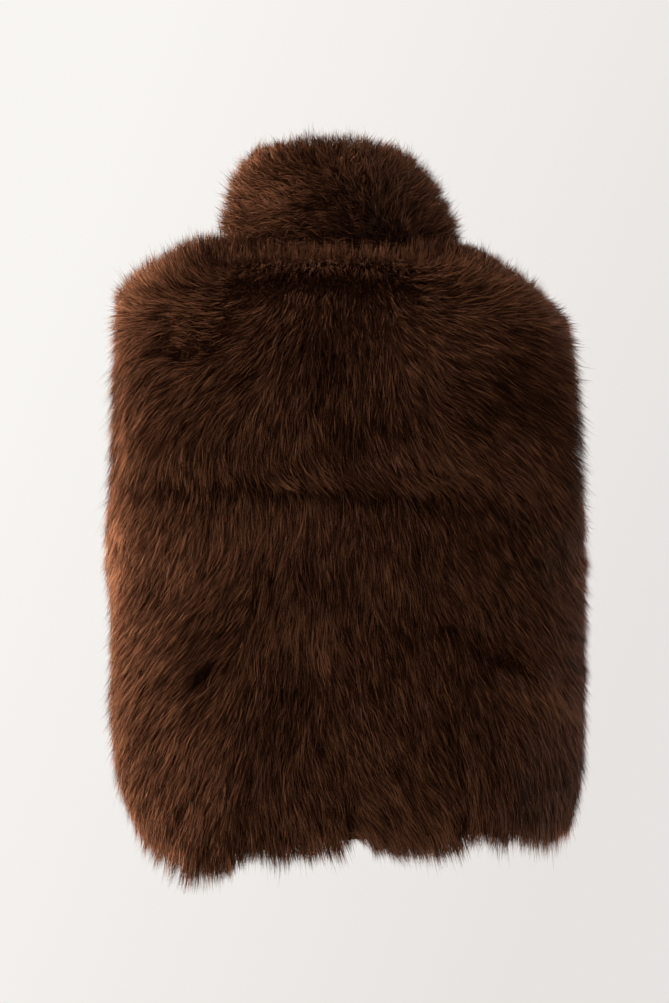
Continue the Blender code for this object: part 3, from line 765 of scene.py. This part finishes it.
def roll_crest(points, on_collar):
    """1 where a panel's pile meets the collar at the back, 0 a little lower."""
    near = smooth_step(1 - distances(collar_tree, points) / CREST_DEPTH)
    return near * smooth_step(points[:, 1] / CREST_BACK - 0.5) * ~on_collar


print("free edges:", int(skin_rim.sum()), "triangles of the skin")

# %% [markdown]
# ## Tufts and locks
#
# Faux fur clings together: a few dozen fibres make a tuft, and a few tufts lean together into a lock. So
# guide fibres come first, one for each tuft. A guide's tip is placed on the skin. Its root lies against
# the nap, down on the backing, and a smooth curve joins the two, steep at the root and flat at the tip.
# The tufts of a lock lean towards their middle, and locks differ in direction, height and shade. A mark
# presses the tufts whose tips lie in it, and less deeply those that lie across it, so its edges look
# combed and not cut.

# %% Guide fibres
GUIDE_AREA = 8e-6  # square metres of skin for one tuft
LOCK_AREA = 110e-6  # and for one lock
LOCK_CLING = 0.12  # how far a tuft's tip leans to the middle of its lock
ROOT_HEIGHT = 0.0015  # above the backing's inner face
STEEP_SHARE = 0.55  # a guide rises steeply through this share of the pile
BEND_DEPTH = 0.15  # a guide's bend lies this share of the pile below the skin
BEND_CLING, BEND_LIFT = 0.35, 0.4  # how far the bend follows its tip
LEAST_SWEEP, SWEEP_SPREAD, SWEEP_LIMITS = 0.004, 0.10, (0.7, 1.3)
TUFT_TURN, LOCK_TURN = 0.07, 0.08  # uneven directions, as shares of the sweep
DRIFT_TURN, DRIFT_SIZE = 0.08, 0.022  # slow changes of direction, and their width
COLLAR_CURL, CURL_SIZE = 0.48, 0.008  # the collar's fibres are short and wavy
TUFT_RELIEF, LOCK_RELIEF = 0.0006, 0.0008
SWELL, SWELL_SIZE = 0.0008, 0.035  # broad unevenness of height, and its width
EDGE_SPREAD = 0.0028  # uneven reach of the locks past a free edge
ACROSS_MARK, ACROSS_STEP = 0.45, 0.009  # how much a mark presses the tufts that lie across it
COLLAR_SIDE_LIFT = 0.0030
SIDE_LIFT, SIDE_RARITY = 0.0070, 5  # single tufts stand out from the shoulders
SIDE_FOOT, SIDE_FADE = -0.25, 0.10  # and none below this height
SIDE_GAIN, SIDE_START = 1.6, 0.6


def outward_side(directions):
    """1 where the surface faces sideways or up, as on the shoulders, and 0 on the flat of the back."""
    return smooth_step(np.hypot(directions[:, 0], np.maximum(directions[:, 2], 0)) * SIDE_GAIN - SIDE_START)


def nap(points, normals, on_collar, on_rim):
    """Which way the pile runs at each place, and how far."""
    run = comb(points, on_collar)
    strength = np.linalg.norm(run, axis=1)
    right, down = along_surface(points, normals)
    # At a free edge the pile goes on past the cloth, so it hangs straight there and leans outwards.
    upright = np.cross(np.array([0.0, 0.0, 1.0]), out_of_body(points))
    rim = on_rim[:, None]
    right = np.where(rim, upright, right)
    down = np.where(rim, np.array([0.0, 0.0, -1.0]), down)
    flow = right * run[:, :1] + down * run[:, 1:]
    flow = np.where(rim, unit(flow) + normals, flow)
    return unit(flow), np.maximum(strength, LEAST_SWEEP)


def guide_curves(tips, normals, on_collar, on_rim):
    """The four points that steer each guide's curve, from root to tip."""
    count = len(tips)
    centres = dice.choice(count, int(count * GUIDE_AREA / LOCK_AREA), replace=False)
    lock = nearest_numbers(search_tree(tips[centres]), tips)
    flow, sweep = nap(tips, normals, on_collar, on_rim)
    side = np.cross(normals, flow)
    turn = TUFT_TURN * dice.normal(0, 1, count) + LOCK_TURN * dice.normal(0, 1, len(centres))[lock]
    turn += DRIFT_TURN * soft_noise(tips, DRIFT_SIZE)
    turn += COLLAR_CURL * soft_noise(tips, CURL_SIZE) * on_collar
    flow = unit(flow + side * turn[:, None])
    sweep = sweep * (1 + SWEEP_SPREAD * dice.normal(0, 1, count)).clip(*SWEEP_LIMITS)
    lift = TUFT_RELIEF * dice.normal(0, 1, count) + LOCK_RELIEF * dice.normal(0, 1, len(centres))[lock]
    across = mark_depth(tips - flow * ACROSS_STEP, normals)
    pressed = np.maximum(mark_depth(tips, normals), ACROSS_MARK * across)
    lift += SWELL * soft_noise(tips, SWELL_SIZE) - pressed
    lift -= relief(FULLNESS, tips, np.where(on_collar, 0.0, 1.0))
    lift += COLLAR_SIDE_LIFT * np.abs(normals[:, 0]) * on_collar
    high = smooth_step((tips[:, 2] - SIDE_FOOT) / SIDE_FADE)
    lift += SIDE_LIFT * outward_side(normals) * high * dice.random(count) ** SIDE_RARITY
    hang = edge_reach(tips, on_collar) + EDGE_SPREAD * dice.normal(0, 1, len(centres))[lock]
    hang = hang * edge_nearness(tips)
    root_skin = nearest(skin_tree, tips - flow * sweep[:, None])
    lining_place = nearest(lining_tree, root_skin)
    up = unit(root_skin - lining_place)
    thick = np.linalg.norm(root_skin - lining_place, axis=1)
    root = lining_place + up * ROOT_HEIGHT
    steep = root + up * (STEEP_SHARE * thick)[:, None]
    half_way = tips - flow * (0.5 * sweep)[:, None]
    bend = np.where(on_rim[:, None], half_way, nearest(skin_tree, half_way))
    bend = bend - (up + normals) * (0.5 * BEND_DEPTH * thick)[:, None]
    tip = tips + normals * np.where(on_rim, 0, lift)[:, None] + flow * hang[:, None]
    tip = tip + CREST_LIFT * roll_crest(tips, on_collar)[:, None]
    to_middle = tips[centres][lock] - tips
    tip = tip + to_middle * LOCK_CLING
    bend = bend + to_middle * LOCK_CLING * BEND_CLING
    bend = bend + normals * (BEND_LIFT * lift)[:, None] + flow * (BEND_LIFT * hang)[:, None]
    return np.stack([root, steep, bend, tip]), pressed, unit(up + normals), lock


GUIDE_TONE, LOCK_TONE, EDGE_PAINTED_LIGHT = 0.06, 0.04, 0.13
PATCH_TONE, PATCH_SIZE = 0.05, 0.060
MARK_PAINTED_SHADE, MARK_LIGHTEST = 42.0, -0.003
guide_count = int(skin_areas.sum() / GUIDE_AREA)
guide_faces, guide_shares = scattered(guide_count, skin_areas)
guide_tips, guide_normals = on_skin(guide_faces, guide_shares)
guide_on_collar = skin_owner[guide_faces] == list(walls).index("collar")
guide_on_rim = skin_rim[guide_faces]
guides, guide_pressed, guide_up, guide_lock = guide_curves(
    guide_tips, guide_normals, guide_on_collar, guide_on_rim
)
guide_tree = search_tree(guide_tips)
guide_tone = GUIDE_TONE * dice.normal(0, 1, guide_count)
guide_tone += LOCK_TONE * dice.normal(0, 1, guide_lock.max() + 1)[guide_lock]
guide_tone += PATCH_TONE * soft_noise(guide_tips, PATCH_SIZE)
# Painted shade: fibres whose tips are pressed into a mark are darkened, and a lifted tuft is made a little
# lighter as a painted highlight.
guide_tone -= MARK_PAINTED_SHADE * np.maximum(guide_pressed, MARK_LIGHTEST)
# Painted light: fibres near a free edge are made lighter, as light shines through the fringe.
guide_tone += EDGE_PAINTED_LIGHT * edge_nearness(guide_tips)
guide_tone += painted_light_and_shade_tone(guide_tips, guide_normals)
print("guides:", guide_count, "in", guide_lock.max() + 1, "locks")

# %% [markdown]
# ## Fibres
#
# Each fibre is a ribbon of three triangles: two points at its foot, two at its bend and one at its tip.
# Its tone and its place along the fibre are kept in a UV map, so that one small palette colours them all.
# The ribbons face outwards with some roll, which makes neighbours catch the light differently. A few of
# them stray or stand off the pile, as in any fur that has been worn. Fewer grow in the marks, where the
# pile parts, and more at the free edges, where one looks through the fringe.

# %% Growing the pile
FIBRE_STEPS = np.array([0.30, 0.66, 1.0])  # a fibre's points, as shares of its guide's curve
REACH, REACH_SPREAD, REACH_LIMITS = 0.95, 0.08, (0.6, 1.1)  # how much of the curve a fibre follows
FIBRE_WIDTH, WIDTH_SPREAD = 0.00037, (0.7, 1.25)
BEND_WIDTH = 0.85  # a fibre's width at its bend, against its foot's
ROLL_SPREAD = math.radians(32)
TUFT_CLING, CLING_SPREAD, CLING_MOST = 0.14, 0.16, 0.95  # how far a fibre's tip moves to its guide's
SINK_SPREAD = 0.0020  # how far tips lie below the surface
TONE_SPREAD, TONE_LIMITS = 0.23, (0.02, 0.98)
STRAY = 0.0020  # how far single tips stray
FLYAWAY_SHARE, FLYAWAY_LIFT, FLYAWAY_REACH = 0.025, 0.005, 0.35
FUZZ_LIFT, FUZZ_RARITY = 0.0060, 4  # single fibres stand out from the shoulders and the sides
THINNING, THINNED_MOST = 90.0, 0.75  # marks let fewer fibres grow
EDGE_CROWD = 1.2  # so many more fibres grow at a free edge, as a share
ROOM = Vector((0.0112, 0.0090, 0.0140))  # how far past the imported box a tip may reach
ROOM_LOW, ROOM_HIGH = np.array(cad_box[0] - ROOM), np.array(cad_box[1] + ROOM)


def along_guides(numbers, step):
    """The place on each guide's curve. Past 1 it runs on straight."""
    inside = np.minimum(step, 1.0)[:, None]
    rest = 1 - inside
    root, steep, bend, tip = (point[numbers] for point in guides)
    place = rest**3 * root + 3 * rest**2 * inside * steep + 3 * rest * inside**2 * bend + inside**3 * tip
    return place + (tip - bend) * np.maximum(step - 1.0, 0)[:, None]


def grow(faces, shares):
    """Ribbon points, directions and tones of fibres whose tips lie at scattered places."""
    tips, normals = on_skin(faces, shares)
    keep = dice.random(len(tips)) > np.clip(THINNING * mark_depth(tips, normals), 0, THINNED_MOST)
    tips = tips[keep]
    count = len(tips)
    numbers = nearest_numbers(guide_tree, tips)
    offset = tips - guide_tips[numbers]
    cling = np.clip(dice.normal(TUFT_CLING, CLING_SPREAD, count), 0, CLING_MOST)[:, None]
    reach = dice.normal(REACH, REACH_SPREAD, count).clip(*REACH_LIMITS)
    sink = np.abs(dice.normal(0, SINK_SPREAD, count))
    flyaway = dice.random(count) < FLYAWAY_SHARE
    reach = np.where(flyaway, 1.0 + dice.random(count) * FLYAWAY_REACH, reach)
    sink = np.where(flyaway, -dice.random(count) * FLYAWAY_LIFT, sink)
    stray = dice.normal(0, STRAY, (count, 3))
    up = guide_up[numbers]
    sink -= FUZZ_LIFT * outward_side(up) * dice.random(count) ** FUZZ_RARITY
    lines = []
    for step in FIBRE_STEPS:
        place = along_guides(numbers, step * reach)
        place = place + offset * (1 - cling * step**1.5)
        place = place - up * (sink * step**2)[:, None]
        place = place + stray * step**2
        lines.append(np.clip(place, ROOM_LOW, ROOM_HIGH))
    tone = 0.5 + TONE_SPREAD * dice.normal(0, 1, count) + guide_tone[numbers]
    return np.stack(lines), up, np.clip(tone, *TONE_LIMITS)


def ribbons(lines, up, widths):
    """The five corners of each ribbon."""
    count = lines.shape[1]
    roll = dice.normal(0, ROLL_SPREAD, count)[:, None]
    corners = np.zeros((count, 5, 3))
    for step, width in enumerate((1.0, BEND_WIDTH)):
        ahead = unit(lines[step + 1] - lines[step])
        across = unit(np.cross(ahead, up))
        side = across * np.cos(roll) + np.cross(ahead, across) * np.sin(roll)
        half = side * (widths * width / 2)[:, None]
        corners[:, 2 * step] = lines[step] - half
        corners[:, 2 * step + 1] = lines[step] + half
    corners[:, 4] = lines[2]
    return corners


PALETTE_STRIP, STRIP_AT_BEND = 0.0036, 0.8  # width of one fibre on the palette map
PALETTE_HEIGHTS = np.array([0.01, 0.01, 0.55, 0.55, 0.99])  # its foot, bend and tip on that map
RIBBON_FACES = np.array([0, 1, 3, 2, 2, 3, 4])  # a ribbon's quad and triangle
RIBBON_STARTS = np.array([0, 4])


def ribbon_mesh(name, corners, tone):
    """One mesh of many ribbons, with the palette map."""
    count = len(corners)
    mesh = bpy.data.meshes.new(name)
    mesh.vertices.add(count * 5)
    mesh.vertices.foreach_set("co", corners.astype(np.float32).ravel())
    loops = (np.arange(count) * 5)[:, None] + RIBBON_FACES
    mesh.loops.add(count * 7)
    mesh.loops.foreach_set("vertex_index", loops.astype(np.int32).ravel())
    mesh.polygons.add(count * 2)
    starts = (np.arange(count) * 7)[:, None] + RIBBON_STARTS
    mesh.polygons.foreach_set("loop_start", starts.astype(np.int32).ravel())
    mesh.polygons.foreach_set("use_smooth", np.ones(count * 2, bool))
    half = PALETTE_STRIP / 2
    across = np.array([-half, half, -half * STRIP_AT_BEND, half * STRIP_AT_BEND, 0.0])
    places = np.zeros((count, 5, 2))
    places[..., 0] = tone[:, None] + across
    places[..., 1] = PALETTE_HEIGHTS
    palette = mesh.uv_layers.new(name="OFBake")
    palette.data.foreach_set("uv", places[:, RIBBON_FACES].astype(np.float32).ravel())
    mesh.update(calc_edges=True)
    return mesh


print("a tip may reach from", ROOM_LOW.round(4), "to", ROOM_HIGH.round(4))

# %% [markdown]
# ## Dyed fibre, with painted shade at the root
#
# One node group gives the dye of everything that is made of this fibre, and its painted root shade. Tone
# picks a shade from nearly black brown over chestnut to a reddish tan, and Along darkens the foot of a
# fibre with painted shade, where little light gets in. The combed pile reads both from its palette map.
# The underfur and the knitted backing feed it from noise.

# %% The shared dye and painted root shade
DARK_BROWN = (0.0032, 0.0008, 0.0002)
CHESTNUT = (0.0226, 0.0075, 0.0034)
RED_TAN = (0.190, 0.075, 0.036)


def dye_and_root_shade_group():
    """Node group: tone and place along the fibre in, colour out."""
    group = bpy.data.node_groups.new("Dyed fibre with root shade", "ShaderNodeTree")
    for title in ("Tone", "Along", "Root shade"):
        group.interface.new_socket(title, in_out="INPUT", socket_type="NodeSocketFloat")
    group.interface.new_socket("Colour", in_out="OUTPUT", socket_type="NodeSocketColor")
    nodes, links = group.nodes, group.links
    inputs = nodes.new("NodeGroupInput")
    outputs = nodes.new("NodeGroupOutput")
    shades = nodes.new("ShaderNodeValToRGB")
    shades.color_ramp.elements[0].color = (*DARK_BROWN, 1)
    shades.color_ramp.elements[1].color = (*RED_TAN, 1)
    middle = shades.color_ramp.elements.new(0.5)
    middle.color = (*CHESTNUT, 1)
    lift = nodes.new("ShaderNodeMapRange")
    lift.interpolation_type = "SMOOTHSTEP"
    lift.inputs["From Max"].default_value = 0.9
    shade = nodes.new("ShaderNodeMix")
    shade.data_type = "RGBA"
    shade.blend_type = "MULTIPLY"
    shade.inputs["Factor"].default_value = 1.0
    join(
        links,
        (inputs, "Tone", shades, "Fac"),
        (inputs, "Along", lift, "Value"),
        (inputs, "Root shade", lift, "To Min"),
        (shades, "Color", shade, "A"),
        (lift, "Result", shade, "B"),
        (shade, "Result", outputs, "Colour"),
    )
    return group


dye_and_root_shade = dye_and_root_shade_group()


def dyed_and_root_shaded(nodes, values):
    """The shared dye and painted root shade, in a material."""
    colour = nodes.new("ShaderNodeGroup")
    colour.node_tree = dye_and_root_shade
    return set_inputs(colour, values)


def fibre_material():
    """The combed pile: silky, with a soft warm sheen."""
    material, nodes, links, shader = new_material(
        "combed pile",
        {
            "Roughness": 0.36,
            "IOR": 1.16,
            "Specular IOR Level": 0.14,
            "Specular Tint": (1.0, 0.66, 0.44, 1),
        },
    )
    palette = nodes.new("ShaderNodeUVMap")
    palette.uv_map = "OFBake"
    split = nodes.new("ShaderNodeSeparateXYZ")
    # Root shade darkens each fibre's foot with painted shade.
    colour = dyed_and_root_shaded(nodes, {"Root shade": 0.12})
    join(
        links,
        (palette, "UV", split, "Vector"),
        (split, "X", colour, "Tone"),
        (split, "Y", colour, "Along"),
        (colour, "Colour", shader, "Base Color"),
    )
    return material


pile_finish = fibre_material()
print("dye inputs:", [entry.name for entry in dye_and_root_shade.interface.items_tree if entry.in_out == "INPUT"])

# %% [markdown]
# ## The combed pile
#
# Now the fibres are grown panel by panel. The back is the largest panel and is divided by height into
# three pieces, because one mesh of all its fibres would be too heavy to handle. The guides run over the
# seams, so nothing of that division shows.

# %% Comb the pile onto the panels
FIBRE_LIMIT = 66_000  # fibres in one piece, which keeps it under 200,000 triangles
TUFT_PIECES = {
    # piece: its wall, lowest and highest place, fibres
    "pile_back_upper": ("back", -0.215, 1.0, 64_000),
    "pile_back_middle": ("back", -0.395, -0.215, 60_000),
    "pile_back_lower": ("back", -1.0, -0.395, 60_000),
    "pile_front_left": ("front_left", -1.0, 1.0, 38_000),
    "pile_front_right": ("front_right", -1.0, 1.0, 38_000),
    "pile_collar": ("collar", -1.0, 1.0, 40_000),
}


def comb_piece(name, owner, low, high, count):
    """One piece of the pile."""
    centre = skin.mean(1)[:, 2]
    own = skin_owner == list(walls).index(owner)
    weights = skin_areas * own * (centre >= low) * (centre < high)
    weights = weights * (1 + EDGE_CROWD * skin_nearness)
    faces, shares = scattered(min(count, FIBRE_LIMIT), weights)
    lines, up, tone = grow(faces, shares)
    widths = FIBRE_WIDTH * dice.uniform(*WIDTH_SPREAD, lines.shape[1])
    mesh = ribbon_mesh(name, ribbons(lines, up, widths), tone)
    mesh.materials.append(pile_finish)
    piece = new_object(name, mesh)
    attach(piece, "root")
    print(name, lines.shape[1], "fibres on", round(float(weights.sum()), 3), "square metres")
    return piece


skin_nearness = edge_nearness(skin.mean(1))
for name, row in TUFT_PIECES.items():
    comb_piece(name, *row)

# %% [markdown]
# ## Underfur
#
# Between the long fibres lies a short dense fleece that hides the backing. It is made from the packed
# wall itself: its inner points rest on the knit, and its outer points are drawn back towards them. At a
# free edge it is drawn back the most, so that only loose fibres hang there and no flat rim shows.

# %% Underfur
UNDERFUR_DRAWN_BACK = 0.42  # share of the pile's depth that the long fibres have to themselves
UNDERFUR_EDGE, UNDERFUR_COLLAR_EDGE = 0.90, 0.68  # and the same at a free edge
KNIT_THICKNESS = 0.0018
UNDERFUR_UNEVEN = 0.0009


def fleece_material():
    """The underfur: matt, broken up by fine noise, and darkened with the painted shade of a fibre's foot.
    """
    matt = {"Roughness": 1.0, "Specular IOR Level": 0.0}
    material, nodes, links, shader = new_material("underfur", matt)
    where = nodes.new("ShaderNodeTexCoord")
    fuzz = set_inputs(nodes.new("ShaderNodeTexNoise"), {"Scale": 420, "Detail": 4})
    # Along 0.20 gives the underfur the painted shade of a fibre's foot.
    colour = dyed_and_root_shaded(nodes, {"Along": 0.20, "Root shade": 0.14})
    bump = set_inputs(nodes.new("ShaderNodeBump"), {"Strength": 0.8, "Distance": 0.002})
    join(
        links,
        (where, "Object", fuzz, "Vector"),
        (fuzz, "Fac", colour, "Tone"),
        (fuzz, "Fac", bump, "Height"),
        (colour, "Colour", shader, "Base Color"),
        (bump, "Normal", shader, "Normal"),
    )
    return material


def underfur_piece(node, finish):
    """A closed mat between the knit and the long fibres."""
    wall = walls[node]
    corners, hollow_side = wall["points"], wall["triangles"][wall["inner"]]
    is_inner = np.isin(np.arange(len(corners)), hollow_side)
    foot = nearest(tree_of(corners, hollow_side), corners)
    at_edge = UNDERFUR_COLLAR_EDGE if node == "collar" else UNDERFUR_EDGE
    drawn_back = UNDERFUR_DRAWN_BACK + (at_edge - UNDERFUR_DRAWN_BACK) * edge_nearness(corners)
    drawn = corners + (foot - corners) * drawn_back[:, None]
    drawn += dice.normal(0, UNDERFUR_UNEVEN, drawn.shape)
    on_knit = corners - point_normals(corners, hollow_side) * KNIT_THICKNESS
    points = np.where(is_inner[:, None], on_knit, drawn)
    mesh = bpy.data.meshes.new("underfur_" + node)
    mesh.from_pydata(points.tolist(), [], wall["triangles"].tolist())
    mesh.materials.append(finish)
    mesh.shade_smooth()
    piece = new_object("underfur_" + node, mesh)
    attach(piece, "root")
    return piece


fleece = fleece_material()
underfur = {node: underfur_piece(node, fleece) for node in walls}
print("underfur:", len(underfur), "mats")

# %% [markdown]
# ## Knitted backing
#
# The backing is the garment's real cloth. Each panel is a thin shell on the hollow side of its wall, and
# it shows wherever one looks into the garment: at the neck, the armholes, the hem and between the fronts.
# Its cut edges are pressed open along the seams, so a narrow strip beside each seam stands up a little,
# and its soft creases are the inner side of those in the pile. A table gives how large each panel is
# when it lies flat, which is what a maker would cut.

# %% Backing shells
PANEL_CUTS = {
    # node: flat width, flat length and flat area of the cut panel
    "back": (0.580, 0.560, 0.270),
    "front_left": (0.290, 0.540, 0.130),
    "front_right": (0.290, 0.540, 0.130),
    "collar": (0.560, 0.085, 0.040),
}
SEAM_ALLOWANCE, SEAM_HEIGHT = 0.010, 0.0014  # the cut edges lie pressed open along each seam
BACKING_CREASES = (
    # x, z, slope, half length, half width, height into the hollow; the same on back and fronts
    (0.060, -0.237, 3, 0.110, 0.0090, 0.0024),  # the waist's crease
    (-0.090, -0.246, -6, 0.060, 0.0090, 0.0020),
    (0.128, -0.100, 26, 0.036, 0.0080, 0.0020),
    (-0.120, -0.118, -34, 0.044, 0.0090, 0.0016),
    (0.118, -0.405, -38, 0.034, 0.0080, 0.0020),
    (-0.138, -0.392, 14, 0.040, 0.0080, 0.0018),
    (0.050, -0.360, 70, 0.075, 0.0100, 0.0014),
    (-0.060, -0.470, 82, 0.060, 0.0100, 0.0016),
    (0.010, -0.150, 96, 0.055, 0.0110, 0.0012),
)
KNIT_TONE = (0.36, 0.60)  # the palette's darkest and lightest shade in the knit


def knit_material():
    """The backing's wrong side: fine ribs of loops, matt."""
    matt = {"Roughness": 0.92, "Specular IOR Level": 0.10}
    material, nodes, links, shader = new_material("knitted backing", matt)
    where = nodes.new("ShaderNodeTexCoord")
    uneven = set_inputs(nodes.new("ShaderNodeTexNoise"), {"Scale": 260, "Detail": 3})
    quiet = nodes.new("ShaderNodeMapRange")
    set_inputs(quiet, {"To Min": KNIT_TONE[0], "To Max": KNIT_TONE[1]})
    colour = dyed_and_root_shaded(nodes, {"Along": 1.0})
    ribs = set_inputs(nodes.new("ShaderNodeTexWave"), {"Scale": 90})
    ribs.bands_direction = "Z"
    bump = set_inputs(nodes.new("ShaderNodeBump"), {"Strength": 0.5, "Distance": 0.001})
    join(
        links,
        (where, "Object", uneven, "Vector"),
        (where, "Object", ribs, "Vector"),
        (uneven, "Fac", quiet, "Value"),
        (quiet, "Result", colour, "Tone"),
        (ribs, "Fac", bump, "Height"),
        (colour, "Colour", shader, "Base Color"),
        (bump, "Normal", shader, "Normal"),
    )
    return material


def backing_piece(node, finish):
    """A thin closed shell on a wall's hollow side."""
    wall = walls[node]
    chosen = wall["triangles"][wall["inner"]]
    used, renumbered = np.unique(chosen, return_inverse=True)
    mesh = bpy.data.meshes.new("backing_" + node)
    cloth = bmesh.new()
    corners = [cloth.verts.new(point) for point in wall["points"][used]]
    for triangle in renumbered.reshape(-1, 3):
        cloth.faces.new([corners[number] for number in triangle])
    bmesh.ops.subdivide_edges(cloth, edges=cloth.edges, cuts=1, use_grid_fill=True)
    bmesh.ops.triangulate(cloth, faces=cloth.faces)
    cloth.normal_update()
    places = np.array([corner.co for corner in cloth.verts])
    seam_tree = tree_of(wall["points"], wall["triangles"][sewn_faces[node]])
    height = SEAM_HEIGHT * smooth_step((SEAM_ALLOWANCE - distances(seam_tree, places)) / SEAM_ALLOWANCE)
    height += relief(BACKING_CREASES, places, np.full(len(places), float(node != "collar")))
    for corner, rise in zip(cloth.verts, height):
        corner.co += corner.normal * rise
    cloth.to_mesh(mesh)
    cloth.free()
    mesh.materials.append(finish)
    mesh.shade_smooth()
    piece = new_object("backing_" + node, mesh)
    thick = piece.modifiers.new("thickness", "SOLIDIFY")
    thick.thickness = KNIT_THICKNESS
    thick.offset = -1
    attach(piece, "root")
    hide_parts(node)
    return piece


knit = knit_material()
backing = {node: backing_piece(node, knit) for node in walls}
for node, (width, length, area) in PANEL_CUTS.items():
    wall = walls[node]
    found = areas(wall["points"][wall["triangles"][wall["inner"]]]).sum()
    print(node, "backing:", round(float(found), 3), "square metres")
